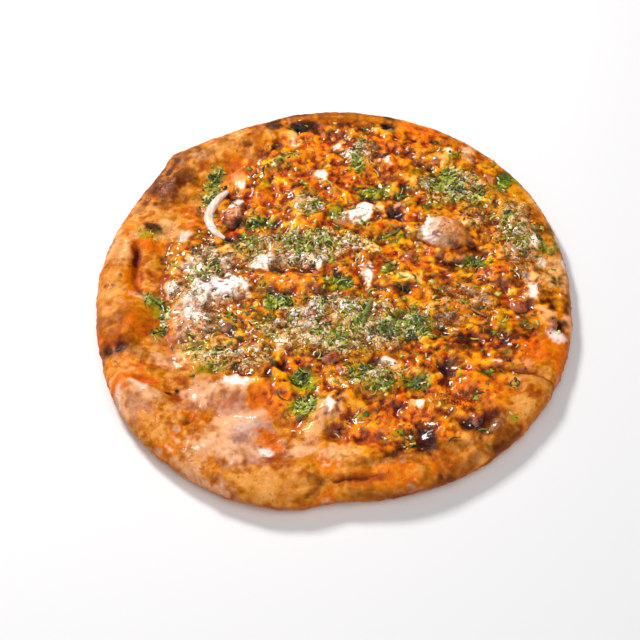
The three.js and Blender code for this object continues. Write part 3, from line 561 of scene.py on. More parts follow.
skin = 0.6 * rough(X, Y, 9, 41, 3) + 0.2 * rough(X, Y, 2.8, 42, 2)
pillows = 2.0 * rough(X, Y, 19, 47, 2) + 0.8 * rough(X, Y, 8, 48, 2)
pillows = pillows * (1 - topping) * smooth(inside, 3, 11)
pale = paint.mean(-1)
height = large + mounds(wander_x, wander_y, SMALL_LUMPS) - mounds(wander_x, wander_y, SMALL_FOLDS)
height = height + busy * (0.45 * (crumbs - 0.4) + 0.5 * wrinkles(3.6, 49)) + skin + pillows
height = height + topping * (0.9 * rough(X, Y, 12, 43, 3) + 0.35 * wrinkles(7, 44))
height = height + topping * 0.22 * wrinkles(3.2, 45) + (1 - topping) * 0.16 * wrinkles(6, 46)
paler = np.clip(soften(pale, 1.2) - soften(pale, 7), -0.25, 0.25) / 0.25
height = height + (0.9 - 0.5 * smooth_spots) * topping * paler
layers = {"topping": topping, "busy": busy, "herb": herb, "melt": smooth_spots, "clumps": clumps}
layers["hollow"] = np.clip((soften(height, 1.4) - height) / 0.4, -1, 1)
layers["valley"] = np.clip(soften(height, 4.5) - height, -1, 1)
well_inside = height[inside > 8]
print("the finished top is", well_inside.min().round(1), "to", well_inside.max().round(1), "mm high")

# %% [markdown]
# ## The bread's mesh
# A disc of rings has long thin faces in its middle and a pole in its centre. A square grid pressed into the
# round has faces of one size all over, so the detail is even. The square's outer edge becomes the shoulder,
# rings of points carry it round the side and under, and a coarser grid of the same kind closes the
# underside.

# %% Grid pressed into a round
def pressed_grid(cells):
    """A square grid pressed into a circle: shares of the radius, bearings, faces, and the edge in order."""
    step = np.arange(-cells, cells + 1)
    a, b = np.meshgrid(step, step)
    ring = np.maximum(abs(a), abs(b))
    safe = np.where(ring == 0, 1, ring)
    across = np.where(a > 0, 45 * b / safe, 180 - 45 * b / safe)
    along = np.where(b > 0, 90 - 45 * a / safe, 270 + 45 * a / safe)
    side = np.where(abs(a) >= abs(b), across, along)
    width = 2 * cells + 1
    index = np.arange(width * width).reshape(width, width)
    corners = [index[:-1, :-1], index[:-1, 1:], index[1:, 1:], index[1:, :-1]]
    faces = np.stack(corners, -1).reshape(-1, 4)
    rim = index[ring == cells]
    rim = rim[np.argsort(np.mod(side.ravel()[rim], 360), kind="stable")]
    return ring.ravel() / cells, side.ravel(), faces, rim

TOP_CELLS, UNDER_CELLS = 126, 63
share, side, top_faces, top_rim = pressed_grid(TOP_CELLS)
reach_out = bread_radius(side) - NOSE_DEPTH
top_x = share * reach_out * np.cos(np.radians(side))
top_y = share * reach_out * np.sin(np.radians(side))
top_z = look_up(height, top_x, top_y)
print("top:", len(top_faces) * 2, "triangles")

# %% Side and underside
EVEN_REACH, EVEN_SPREAD = 24, 9
MEAN_RADIUS, MM_PER_DEGREE = 118, 2.05
NOSE_ANGLES = [80, 68, 56, 44, 32, 20, 8, -6, -20, -34, -48, -62, -76]
rim_x, rim_y, rim_z = top_x[top_rim], top_y[top_rim], top_z[top_rim]
rim_side = np.radians(side[top_rim])
kernel = np.exp(-0.5 * (np.arange(-EVEN_REACH, EVEN_REACH + 1) / EVEN_SPREAD) ** 2)
lapped_z = np.concatenate([rim_z[-EVEN_REACH:], rim_z, rim_z[:EVEN_REACH]])
even_z = np.convolve(lapped_z, kernel / kernel.sum(), "valid")
points = [np.stack([top_x, top_y, top_z], 1)]
faces, ring_of = [top_faces], [top_rim]
count, arc, before = len(top_x), 0.0, (0.0, rim_z)
fold_back = [np.zeros(len(top_x))]
for angle in NOSE_ANGLES:
    out = NOSE_DEPTH * math.cos(math.radians(angle))
    kept = max(0, (angle - 30) / 50)
    z = (even_z + (rim_z - even_z) * kept) / 2 * (1 + math.sin(math.radians(angle)))
    arc += np.hypot(out - before[0], z - before[1]).mean()
    before = (out, z)
    fold_back.append(np.full(len(top_rim), arc))
    along = rim_side * MEAN_RADIUS
    swell = 0.8 * rough(along, z * 2.2, 7, 51) + 0.5 * rough(along * 1.7, z * 5, 4, 52)
    fold = 0.9 * np.exp(-((z - 4.5 - 1.6 * rough(along, along * 0, 26, 53)) / 0.9) ** 2)
    fold = fold * smooth(rough(along, along * 0 + 9, 34, 54), -0.1, 0.4)
    r = np.hypot(rim_x, rim_y) + out + math.cos(math.radians(angle)) * swell - fold
    points.append(np.stack([r * np.cos(rim_side), r * np.sin(rim_side), z], 1))
    ring_of.append(np.arange(count, count + len(top_rim)))
    count += len(top_rim)
for upper, lower in zip(ring_of[:-1], ring_of[1:]):
    faces.append(np.stack([upper, lower, np.roll(lower, -1), np.roll(upper, -1)], -1))

under_share, under_side, under_faces, under_rim = pressed_grid(UNDER_CELLS)
under_r = under_share * (bread_radius(under_side) - NOSE_DEPTH)
ux = under_r * np.cos(np.radians(under_side))
uy = under_r * np.sin(np.radians(under_side))
lift = 0.5 * smooth(rough(ux, uy, 16, 61), 0.05, 0.6) + 0.15 * smooth(rough(ux, uy, 5, 62), 0.1, 0.7)
lift = lift * smooth(1 - under_share, 0.01, 0.06)
points.append(np.stack([ux, uy, lift], 1))
faces.append(under_faces[:, ::-1] + count)
last, foot = ring_of[-1], under_rim + count
triangles = []
for k in range(len(foot)):
    a, b, c = last[2 * k], last[2 * k + 1], last[(2 * k + 2) % len(last)]
    p, q = foot[k], foot[(k + 1) % len(foot)]
    triangles += [(a, p, b), (b, p, q), (b, q, c)]
bread_points = np.concatenate(points)
print("bread:", len(bread_points), "points; under the foot:", len(foot), "points in the ring")

# %% From arrays to a mesh
def give_layer(mesh, name, values):
    values = np.asarray(values, np.float32)
    if values.ndim == 1:
        mesh.attributes.new(name, "FLOAT", "POINT").data.foreach_set("value", values)
    else:
        four = np.concatenate([values, np.ones((len(values), 1), np.float32)], 1)
        mesh.attributes.new(name, "FLOAT_COLOR", "POINT").data.foreach_set("color", four.ravel())

def painted_at(x, y):
    return np.stack([look_up(paint[..., k], x, y) for k in range(3)], -1)

def add_object(name, data):
    made = bpy.data.objects.new(name, data)
    bpy.context.scene.collection.objects.link(made)
    return made

def mesh_object(name, points_mm, face_lists, layers_at=None):
    mesh = bpy.data.meshes.new(name)
    face_list = [list(map(int, face)) for part in face_lists for face in part]
    mesh.from_pydata((np.asarray(points_mm) * MM).tolist(), [], face_list)
    mesh.validate()
    for layer, values in (layers_at or {}).items():
        give_layer(mesh, layer, values)
    mesh.shade_smooth()
    return add_object(name, mesh)

on_top = np.zeros(len(bread_points))
on_top[:len(top_x)] = 1
px, py, pz = bread_points.T
values = {name: look_up(layer, px, py) for name, layer in layers.items()}
beneath = np.clip(1 - pz / 2.5, 0, 1) * (1 - on_top)
for name in ("hollow", "valley", "busy", "herb", "melt"):
    values[name] = values[name] * on_top
lower = np.clip(1 - pz / 10, 0, 1) * (1 - on_top)
values["topping"] = values["topping"] * np.where(on_top > 0, 1, np.clip(pz / 12, 0, 1))
side_tone = 0.5 + 0.5 * rough(np.degrees(np.arctan2(py, px)) * MM_PER_DEGREE, pz * 2, 13, 91, 3)
rust_all_round = np.broadcast_to(ground["rust"], (len(px), 3))
side_paint = blend(smooth(side_tone, 0.25, 0.6), rust_all_round, ground["tan"])
side_paint = blend(0.6 * smooth(side_tone, 0.6, 0.85), side_paint, ground["honey"])
fold_back = np.concatenate(fold_back + [np.zeros(len(ux))])
edge = bread_radius(np.degrees(np.arctan2(py, px))) - NOSE_DEPTH
inward = np.where(fold_back > 0, (edge - fold_back) / np.maximum(1, np.hypot(px, py)), 1)
values["paint"] = blend(np.clip(lower * 1.1, 0, 1), painted_at(px * inward, py * inward), side_paint)
values["beneath"] = beneath
placed = bread_points + np.array([SHIFT[0], SHIFT[1], 0])
bread = mesh_object("kulcha_bread", placed, faces + [triangles], values)
print("bread mesh:", sum(len(p.vertices) - 2 for p in bread.data.polygons), "triangles")

# %% [markdown]
# ## Writing materials as sums
# A material is a tree of small nodes, and a long tree is hard to read. Here a socket is wrapped in a class
# that knows plus, minus and times, so a mask is written as a sum, and each operator adds its Math node.
# Colours are blended by Mix nodes.

# %% Shader helpers
def operator(operation, reflected=False):
    def apply(self, other):
        first, second = (other, self) if reflected else (self, other)
        return self.finish.node("ShaderNodeMath", {"operation": operation}, {0: first, 1: second})
    return apply

class Socket:
    """One output of a node, to be used in sums."""
    def __init__(self, finish, output):
        self.finish, self.output = finish, output
    __add__, __radd__ = operator("ADD"), operator("ADD", reflected=True)
    __sub__, __rsub__ = operator("SUBTRACT"), operator("SUBTRACT", reflected=True)
    __mul__, __rmul__ = operator("MULTIPLY"), operator("MULTIPLY", reflected=True)
    def __neg__(self):
        return self * -1.0

class Finish:
    """One material. Lengths in its patterns are millimetres. A colour is a socket or like "fff0cc"."""
    def __init__(self, name):
        self.material = bpy.data.materials.new(name)
        self.material.use_nodes = True
        self.tree = self.material.node_tree
        self.shader = self.tree.nodes["Principled BSDF"]
        self.place = self.node("ShaderNodeTexCoord", {}, {}, "Object")
    def node(self, kind, settings, inputs, output=0):
        node = self.tree.nodes.new(kind)
        for key, value in settings.items():
            if key == "stops":
                ramp = node.color_ramp
                while len(ramp.elements) < len(value):
                    ramp.elements.new(0.5)
                for element, (at, colour) in zip(ramp.elements, value):
                    element.position, element.color = at, (*colour, 1)
            else:
                setattr(node, key, value)
        for key, value in inputs.items():
            if isinstance(value, Socket):
                self.tree.links.new(value.output, node.inputs[key])
            else:
                node.inputs[key].default_value = value
        return Socket(self, node.outputs[output])
    def layer(self, name, output="Fac"):
        return self.node("ShaderNodeAttribute", {"attribute_name": name}, {}, output)
    def cloud(self, size, detail=3.0, moved=0.0):
        """Soft noise with lumps of about this size. Moving it gives another pattern."""
        at = self.node("ShaderNodeVectorMath", {"operation": "ADD"}, {0: self.place, 1: (moved,) * 3})
        lumps = {"Vector": at, "Scale": 1 / (size * MM), "Detail": detail, "Roughness": 0.55}
        return self.node("ShaderNodeTexNoise", {}, lumps)
    def ease(self, value, start, end, low=0.0, high=1.0):
        """A soft step from low at start to high at end."""
        limits = {0: value, 1: start, 2: end, 3: low, 4: high}
        return self.node("ShaderNodeMapRange", {"interpolation_type": "SMOOTHSTEP"}, limits)
    def mix(self, share, a, b, blend="MIX"):
        first, second = [c if isinstance(c, Socket) else (*shade(c), 1) for c in (a, b)]
        settings = {"data_type": "RGBA", "blend_type": blend, "clamp_factor": True}
        return self.node("ShaderNodeMix", settings, {0: share, 6: first, 7: second}, 2)
    def stained_by(self, colour, by):
        return self.mix(1.0, colour, by, "MULTIPLY")
    def ramp(self, value, stops):
        stops = [(at, shade(colour)) for at, colour in stops]
        return self.node("ShaderNodeValToRGB", {"stops": stops}, {0: value})
    def bump(self, value, depth, strength=1.0):
        relief = {"Height": value, "Distance": depth * MM, "Strength": strength}
        return self.node("ShaderNodeBump", {}, relief)
    def wear(self, **sockets):
        for key, value in sockets.items():
            socket = self.shader.inputs[key.replace("_", " ")]
            if isinstance(value, Socket):
                self.tree.links.new(value.output, socket)
            else:
                socket.default_value = value
        return self.material

print("shader helpers are ready")

# %% [markdown]
# ## The baked surface
# Crust and topping are one skin, so they are one material, and the layers say which is which. Under the
# layers, fine noise keeps every colour broken. Hollows are darker and redder, partly since oil and spice
# gather there and partly as painted shade, and the tops of the grains are painted paler, a painted
# highlight. Butter over it all is a clear coat.

# %% Bread material
crust = Finish("baked_crust_and_topping")
fine, medium, broad = crust.cloud(1.1, 3), crust.cloud(4, 3, moved=0.3), crust.cloud(14, 2, moved=0.7)
hollow, valley = crust.layer("hollow"), crust.layer("valley")
busy_here, topped, melted = crust.layer("busy"), crust.layer("topping"), crust.layer("melt")
painted = crust.layer("paint", "Color")

# Chopped bits too small to be shapes of their own: cells bent by noise, each with its own colour and a gap.
BIT_SIZE = 2.5
BEND_SCALE, BEND_REACH = 330.0, (0.007, 0.007, 0.007)
waves = {"Vector": crust.place, "Scale": BEND_SCALE, "Detail": 3.0}
bend = crust.node("ShaderNodeTexNoise", {}, waves, "Color")
bending = {0: bend, 1: BEND_REACH, 2: crust.place}
bent = crust.node("ShaderNodeVectorMath", {"operation": "MULTIPLY_ADD"}, bending)
cell_size = {"Vector": bent, "Scale": 1 / (BIT_SIZE * MM)}
cell_colour = crust.node("ShaderNodeTexVoronoi", {}, cell_size, "Color")
cell_number = crust.node("ShaderNodeSeparateColor", {}, {0: cell_colour}, 0)
cell_gap = crust.node("ShaderNodeTexVoronoi", {"feature": "DISTANCE_TO_EDGE"}, cell_size, "Distance")
cell_top = crust.node("ShaderNodeTexVoronoi", {}, cell_size, "Distance")
bit_paths = crust.ease(cell_gap + (fine - 0.5) * 0.2, 0.14, 0.02)
not_dark = crust.ease(crust.node("ShaderNodeRGBToBW", {}, {0: painted}), 0.03, 0.15)
many = crust.ease(busy_here + (medium - 0.5) * 0.9 + (broad - 0.5) * 0.5, 0.25, 0.9) * not_dark
browned = crust.stained_by(painted, "96480f")
creamy = crust.mix(0.62, painted, "fff0cc")

def picked(below, low, high, share, now):
    """Give the cells whose number lies between low and high another colour."""
    above = crust.ease(cell_number, low - 0.02, low + 0.02)
    return crust.mix(above * crust.ease(cell_number, high + 0.02, high - 0.02) * many * share, below, now)

colour = picked(painted, 0.0, 0.12, 0.5, browned)
colour = picked(colour, 0.26, 0.62, 0.9, creamy)
colour = picked(colour, 0.64, 0.75, 0.95, "fff8ec")
colour = picked(colour, 0.78, 0.88, 0.75, "74881a")
colour = picked(colour, 0.95, 1.1, 0.8, "303a0a")
colour = crust.mix(bit_paths * many * 0.4, colour, crust.stained_by(painted, "8a5414"))

# Thin dark curls, the edges of wilted herb and browned cheese.
curl_place = crust.node("ShaderNodeTexNoise", {}, {"Vector": bent, "Scale": BEND_SCALE, "Detail": 1.5})
curl = crust.node("ShaderNodeMath", {"operation": "ABSOLUTE"}, {0: curl_place - 0.5})
curled = crust.ease(curl + (medium - 0.5) * 0.14, 0.04, 0.018)
curled = curled * crust.ease(busy_here + (broad - 0.5) * 0.6, 0.1, 0.5)
colour = crust.mix(curled * 0.85, colour, "32300c")

# What lies low is darker and redder, partly from the sauce and oil gathered there and partly as painted shade;
# what stands up is painted paler, a painted highlight.
oil_and_shade_colour = crust.stained_by(colour, "b4581a")
painted_highlight_colour = crust.mix(0.5, colour, "fbdca8")
lowness = hollow * 0.4 + valley * 0.35 + (fine - 0.5) * 1.1 + (medium - 0.5) * 0.9
oil_and_shade_share = crust.ease(lowness, 0.02, 0.42) * (topped * 0.5 + 0.35 - busy_here * 0.3 - melted * 0.35)
highness = -hollow * 0.3 + (fine - 0.5) * 1.2 + (medium - 0.5) * 0.5
highlight_share = crust.ease(highness, 0.12, 0.45) * (busy_here * 0.4 + 0.12) * not_dark
colour = crust.mix(oil_and_shade_share, colour, oil_and_shade_colour)
colour = crust.mix(highlight_share, colour, painted_highlight_colour)
pitting = crust.cloud(1.9, 3, moved=0.9) + (medium - 0.5) * 0.8 + (broad - 0.5) * 0.5
pores = crust.ease(pitting, 0.3, 0.2) * (1 - topped)
colour = crust.mix(pores * 0.4, colour, "7a3610")
mottled = crust.ease(crust.cloud(6, 4, moved=1.7), 0.5, 0.62) * (1 - topped * 0.7)
colour = crust.mix(mottled * 0.22, colour, crust.stained_by(colour, "c06a28"))

scorched = crust.ease(broad + (medium - 0.5) * 0.9, 0.5, 0.68)
under_colour = crust.mix(scorched, "d39a55", "86461a")
under_colour = crust.mix(crust.ease(medium + (fine - 0.5) * 0.5, 0.6, 0.72), under_colour, "44200e")
colour = crust.mix(crust.layer("beneath"), colour, under_colour)
grit = (crust.ease(cell_top, 0.75, 0.1) * 1.3 + fine * 0.7) * (busy_here * 0.85 + 0.12)
grit = grit + crust.cloud(2.2, 4, moved=1.3) * (1.1 - melted * 0.7) - pores * 0.4 - curled * 0.3
saturation = crust.ease(topped, 0.0, 1.0, 1.1, 1.22)
vivid = crust.node("ShaderNodeHueSaturation", {}, {"Saturation": saturation, "Value": 1.12, "Color": colour})
crust_material = crust.wear(
    Base_Color=vivid,
    Roughness=crust.ease(fine + medium * 0.5 - topped * 0.3 - melted * 0.3, 0.2, 1.0, 0.2, 0.55),
    Normal=crust.bump(grit, 0.6, 1.0),
    Coat_Weight=topped * crust.ease(medium + (broad - 0.5) * 0.6, 0.35, 0.6, 0.12, 0.5) + melted * 0.3 + 0.02)
crust.wear(Coat_Roughness=0.07, Specular_IOR_Level=0.13)
bread.data.materials.append(crust_material)
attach(bread, "root")
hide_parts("bread")
print("bread material nodes:", len(crust.tree.nodes))

# %% [markdown]
# ## Larger pieces on top
# Paneer, tomato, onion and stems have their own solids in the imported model, faceted and clear of the bread.
# Each is copied, remeshed with small even faces, roughened, and let down so that it beds into the topping
# as the baked ones do.

# %% Bedding a piece in
def bedded(node, name, grain_size, seed, unevenness, sink=1.0, soft=4, cuts=()):
    copy = bpy.data.meshes.new_from_object(frame["nodes"][node])
    work = bmesh.new()
    work.from_mesh(copy)
    bmesh.ops.remove_doubles(work, verts=work.verts, dist=1e-6)
    work.to_mesh(copy)
    work.free()
    copy.materials.clear()
    piece = add_object(name, copy)
    remesh = piece.modifiers.new("even faces", "REMESH")
    remesh.mode, remesh.voxel_size = "VOXEL", grain_size * MM
    relax = piece.modifiers.new("relax", "SMOOTH")
    relax.iterations, relax.factor = soft, 0.5
    made = bpy.data.meshes.new_from_object(piece.evaluated_get(bpy.context.evaluated_depsgraph_get()))
    piece.modifiers.clear()
    piece.data = made
    bpy.data.meshes.remove(copy)
    made.name = name
    place, normal = np.empty(len(made.vertices) * 3), np.empty(len(made.vertices) * 3)
    made.vertices.foreach_get("co", place)
    made.vertex_normals.foreach_get("vector", normal)
    place, normal = place.reshape(-1, 3) / MM, normal.reshape(-1, 3)
    x, y, z = place.T
    coarse = rough(x + 0.7 * z, y - 0.7 * z, 5, seed, 3)
    fine_part = rough(x - z, y + z, 1.6, seed + 5, 2)
    middle = (place.max(0) + place.min(0)) / 2
    # A cut presses whatever stands past it almost flat, so that a trace of its roughness stays.
    for toward, keep in cuts:
        away = np.array(toward) / np.linalg.norm(toward)
        over = (place - middle) @ away
        place = place - np.maximum(0, over - keep * np.ptp(over) / 2)[:, None] * away * 0.93
    place = place + normal * (unevenness * (coarse + 0.45 * fine_part))[:, None]
    place[:, 2] -= sink
    plan_x, plan_y = place[:, 0] - SHIFT[0], place[:, 1] - SHIFT[1]
    rise = place[:, 2] - look_up(soften(height, 2), plan_x, plan_y)
    made.vertices.foreach_set("co", (place * MM).ravel())
    give_layer(made, "rise", rise)
    # Painted light: this layer says how far each face turns to the left, towards the key light, so that a
    # material can paint those faces paler and the faces turned away darker.
    give_layer(made, "facing_left", 0.5 - 0.5 * normal[:, 0])
    give_layer(made, "paint", painted_at(plan_x, plan_y))
    made.shade_smooth()
    return piece

def settle(piece, material, node):
    piece.data.materials.append(material)
    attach(piece, "root")
    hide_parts(node)

def nodes_called(start):
    found = [node for node in frame["nodes"] if node.startswith(start)]
    return sorted(found, key=lambda node: int(node.rsplit("_", 1)[1]))

def face_count(*starts):
    return sum(len(o.data.polygons) for o in bpy.data.objects if o.name.startswith(starts))

for kind in ("paneer", "tomato", "onion", "coriander_stem", "coriander_leaf"):
    print(kind, len(nodes_called(kind)))

# %% Paneer and tomato
def stained(name, ramp_stops, foot_colour, roast, roast_start, gloss, coat, left_light_lean=0.0, mixed_in=1.9):
    finish = Finish(name)
    fine, medium = finish.cloud(1.3, 3), finish.cloud(4, 3, moved=0.4)
    rise, left = finish.layer("rise"), finish.layer("facing_left")
    below = finish.layer("paint", "Color")
    # Painted light: faces turned to the left move towards the pale end of the ramp, a painted highlight, and
    # faces turned away towards the dark end, painted shade.
    colour = finish.ramp(medium * 0.6 + fine * 0.5 - 0.05 + (left - 0.5) * left_light_lean, ramp_stops)
    buried = finish.ease(rise + (medium - 0.5) * 4.5 + (fine - 0.5) * 1.5, mixed_in, mixed_in - 1.6)
    colour = finish.mix(buried * 0.9, colour, below)
    # Near its foot, where it meets the topping, each piece turns to a darker given colour.
    foot = finish.ease(rise + (medium - 0.5) * 1.6, 0.7, -0.1)
    colour = finish.mix(foot * 0.8, colour, foot_colour)
    seared = finish.ease(medium + (fine - 0.5) * 0.6 + rise * 0.03, roast_start, roast_start + 0.12)
    colour = finish.mix(seared * 0.85, colour, roast)
    finish.wear(Base_Color=colour, Roughness=finish.ease(fine, 0.3, 0.7, gloss, gloss + 0.2),
                Normal=finish.bump(fine + finish.cloud(2.4, 3) * 1.2, 0.5, 0.9))
    return finish.wear(Coat_Weight=coat, Coat_Roughness=0.07, Specular_IOR_Level=0.3)

# The chunk's left faces are painted pale and its right faces darker: painted light and shade, laid over its
# roast.
roasted_paneer = stained(
    "roasted_paneer",
    [(0.0, "944010"), (0.22, "d2741e"), (0.42, "d88c48"), (0.6, "f0bc94"), (0.85, "fff0e6")],
    "8a3e10", "94401c", roast_start=0.72, gloss=0.35, coat=0.15, left_light_lean=1.7, mixed_in=3.2)
soft_paneer = stained(
    "soft_paneer", [(0.25, "d69a58"), (0.42, "efc8a0"), (0.7, "f8e4d4")],
    "c87420", "b86c24", roast_start=0.62, gloss=0.3, coat=0.4, mixed_in=2.5)
# Painted highlight: the grey-white stops at the top of both tomato ramps stand for the shine on the wet skin.
tomato_flesh = stained(
    "roasted_tomato",
    [(0.2, "4a1608"), (0.4, "8c3410"), (0.55, "c86014"), (0.7, "b88078"), (0.82, "f0e4e0")],
    "5c1806", "2a0c06", roast_start=0.66, gloss=0.22, coat=0.7, left_light_lean=0.3)
browned_tomato = stained(
    "browned_tomato",
    [(0.2, "6a220a"), (0.42, "a8460e"), (0.6, "cc6c24"), (0.74, "c89888"), (0.88, "f2e8e4")],
    "5c1806", "3a1208", roast_start=0.62, gloss=0.25, coat=0.7, left_light_lean=0.35, mixed_in=3.2)

# The big chunk is broken, not cut, so it loses three of its sides. The others only bed in.
CHUNK_CUTS = [((0.15, -0.8, 0.6), 0.58), ((0.75, 0.25, 0.6), 0.55), ((-0.9, -0.2, 0.5), 0.9)]
for k, node in enumerate(nodes_called("paneer")):
    name = node.replace("piece", "visual")
    if k == 0:
        piece = bedded(node, name, 0.45, 70 + k, unevenness=1.3, sink=0.0, soft=3, cuts=CHUNK_CUTS)
    else:
        piece = bedded(node, name, 0.4, 70 + k, unevenness=1.0, sink=2.2)
    settle(piece, roasted_paneer if k == 0 else soft_paneer, node)
for k, node in enumerate(nodes_called("tomato")):
    unevenness, sink = (1.4, 1.9) if k == 0 else (0.8, 1.3)
    piece = bedded(node, node.replace("piece", "visual"), 0.4, 90 + k, unevenness, sink)
    settle(piece, browned_tomato if k == 0 else tomato_flesh, node)
print("lumps:", face_count("paneer_visual", "tomato_visual"), "faces")

# %% Onion and stems
onion_flesh = stained(
    "soft_onion", [(0.2, "d8946c"), (0.45, "eec6a8"), (0.75, "fceade")],
    "c8681e", "c88850", roast_start=0.72, gloss=0.2, coat=0.6, mixed_in=2.6)
clear_onion = stained(
    "clear_onion", [(0.1, "dca47c"), (0.35, "f0d2bc"), (0.7, "fdf0e8")],
    "e09060", "e0b090", roast_start=0.8, gloss=0.15, coat=0.8, mixed_in=0.2)
stem_skin = stained(
    "coriander_stem_skin", [(0.25, "2c3a0c"), (0.5, "66801e"), (0.8, "a8b050")],
    "3a3a0c", "1e240a", roast_start=0.62, gloss=0.35, coat=0.4)
for k, node in enumerate(nodes_called("onion")):
    unevenness, sink = (0.4, 0.6) if k == 0 else (0.8, 1.9)
    piece = bedded(node, node.replace("slice", "visual"), 0.35, 110 + k, unevenness, sink, soft=3)
    settle(piece, clear_onion if k == 0 else onion_flesh, node)
for k, node in enumerate(nodes_called("coriander_stem")):
    name = node.replace("stem", "stem_visual")
    piece = bedded(node, name, 0.22, 140 + k, unevenness=0.12, sink=0.35, soft=2)
    settle(piece, stem_skin, node)
print("onion and stems:", face_count("onion_visual", "coriander_stem_visual"), "faces")

# %% [markdown]
# ## Coriander leaves
# A torn leaf is thin, lobed and cupped, with a vein down each lobe. A plane with a leaf picture is no use
# from the side or in a printed part, so each leaf is a closed shell: one lobed sheet of points for the
# upper skin, the same sheet a third of a millimetre lower, and a band round the edge.

# %% Leaves
SPOKES, RINGS = 42, 6
LEAF_LIFT, LEAF_THICKNESS = 0.35, 0.33
SHADED_BEYOND = 80

def torn_leaf(name, x, y, size, turn, seed):
    """x and y are frame millimetres. The leaf lies on the finished top and curls off it at its edges."""
    angle = np.linspace(0, 2 * math.pi, SPOKES, endpoint=False)
    lobes = 0.56 + 0.26 * np.cos(3 * angle) + 0.16 * np.cos(8 * angle + seed)
    lobes = lobes + 0.09 * np.cos(14 * angle + 2 * seed)
    lobes = lobes * (1 + 0.35 * wave(3 * np.cos(angle), 3 * np.sin(angle) + seed, 1, seed))
    sheet = [np.zeros((1, 3))]
    for k in range(1, RINGS + 1):
        r = size / 2 * lobes * k / RINGS
        lx, ly = r * np.cos(angle + turn), r * np.sin(angle + turn)
        vein = -0.16 * np.exp(-((np.mod(angle * 3 + math.pi, 2 * math.pi) - math.pi) / 0.5) ** 2)
        curl = 0.02 * size * (k / RINGS) ** 2 * (1 + 1.6 * wave(angle * 2, angle * 0, 1, seed + 1)) * 2
        sheet.append(np.stack([lx, ly, vein + curl], 1))
    sheet = np.concatenate(sheet)
    lies_on = look_up(soften(height, 0.8), x + sheet[:, 0] - SHIFT[0], y + sheet[:, 1] - SHIFT[1])
    top = sheet + np.stack([np.full(len(sheet), x), np.full(len(sheet), y), lies_on + LEAF_LIFT], 1)
    low = top.copy()
    low[:, 2] -= LEAF_THICKNESS
    count, faces = len(top), []
    def at(ring, s):
        return 1 + (ring - 1) * SPOKES + s % SPOKES
    for s in range(SPOKES):
        faces += [(0, at(1, s), at(1, s + 1)), (count, count + at(1, s + 1), count + at(1, s))]
        for ring in range(1, RINGS):
            quad = (at(ring, s), at(ring + 1, s), at(ring + 1, s + 1), at(ring, s + 1))
            faces += [quad, tuple(count + q for q in reversed(quad))]
        faces.append((at(RINGS, s + 1), at(RINGS, s), count + at(RINGS, s), count + at(RINGS, s + 1)))
    tone = lattice(np.array([seed]), np.array([3]), 5)[0] * (0.4 if x > SHADED_BEYOND else 1)
    return mesh_object(name, np.concatenate([top, low]), [faces], {"shade": np.full(2 * count, tone)})

leaf_skin = Finish("coriander_leaf_skin")
blade = leaf_skin.cloud(1.4, 3)
leaf_tone = leaf_skin.layer("shade") * 0.6 + blade * 0.7 - 0.15
leaf_greens = [(0.1, "1a1c08"), (0.35, "3e4a08"), (0.6, "72840e"), (0.85, "b4b834")]
leaf_skin.wear(
    Base_Color=leaf_skin.ramp(leaf_tone, leaf_greens),
    Roughness=leaf_skin.ease(blade, 0.3, 0.7, 0.3, 0.55), Normal=leaf_skin.bump(blade, 0.2, 0.7))
leaf_material = leaf_skin.wear(Coat_Weight=0.22, Coat_Roughness=0.15)

for k, node in enumerate(nodes_called("coriander_leaf")):
    lo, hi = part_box(node)
    middle = [(lo[i] + hi[i]) / 2 / MM for i in range(3)]
    size = max(hi[0] - lo[0], hi[1] - lo[1]) / MM
    leaf = torn_leaf(node.replace("leaf", "leaf_visual"), middle[0], middle[1], size, 0.7 * k, 200 + k)
    settle(leaf, leaf_material, node)
print("leaves:", len(nodes_called("coriander_leaf")), "of about", 4 * SPOKES * RINGS, "triangles each")

# %% [markdown]
# ## Strewing the small bits
# Hundreds of shreds and flakes lie on the topping, thick in some places and missing in others. Geometry
# Nodes do this well: points are dealt over the bread's faces as densely as a layer says, a shape is picked
# for each, turned to the surface and tilted, and the result is made real geometry. Each shape has only a
# few dozen faces.

# %% Shapes to strew
def sliver(name, length, width, thick, bend, taper, steps=5, sides=5):
    """A closed bent strip about the origin, along x, in millimetres."""
    rings = []
    for k in range(steps + 1):
        t = k / steps
        w = width / 2 * (taper + (1 - taper) * math.sin(math.pi * min(max(t, 0.04), 0.96)) ** 0.7)
        ring = []
        for s in range(sides):
            a = 2 * math.pi * s / sides + 0.4
            across = w * math.cos(a) + bend * (4 * t * (1 - t) - 0.5)
            up = thick / 2 * math.sin(a) * (0.5 + 0.5 * w * 2 / width)
            up += 0.25 * bend * math.sin(3 * t + length)
            ring.append(((t - 0.5) * length, across, up))
        rings.append(ring)
    faces = []
    for k in range(steps):
        here, there = k * sides, (k + 1) * sides
        for s in range(sides):
            n = (s + 1) % sides
            faces.append((there + s, there + n, here + n, here + s))
    faces += [tuple(range(sides)), tuple(steps * sides + s for s in reversed(range(sides)))]
    return mesh_object(name, [p for ring in rings for p in ring], [faces])

def flake(name, size, thick, lobes, seed, points=12):
    angle = np.linspace(0, 2 * math.pi, points, endpoint=False)
    r = size / 2 * (0.75 + 0.25 * np.cos(lobes * angle)) * (1 + 0.25 * wave(angle * 2, angle * 0, 1, seed))
    edge = np.stack([r * np.cos(angle), r * np.sin(angle), 0.12 * size * np.cos(2 * angle)], 1)
    middle = [[0, 0, thick * 0.7], [0, 0, -thick * 0.6]]
    pts = np.concatenate([edge + [0, 0, -thick / 2], edge + [0, 0, thick / 2], middle])
    faces = []
    for k in range(points):
        n = (k + 1) % points
        faces.append((k, n, points + n, points + k))
        faces += [(points + k, points + n, 2 * points), (n, k, 2 * points + 1)]
    return mesh_object(name, pts, [faces])

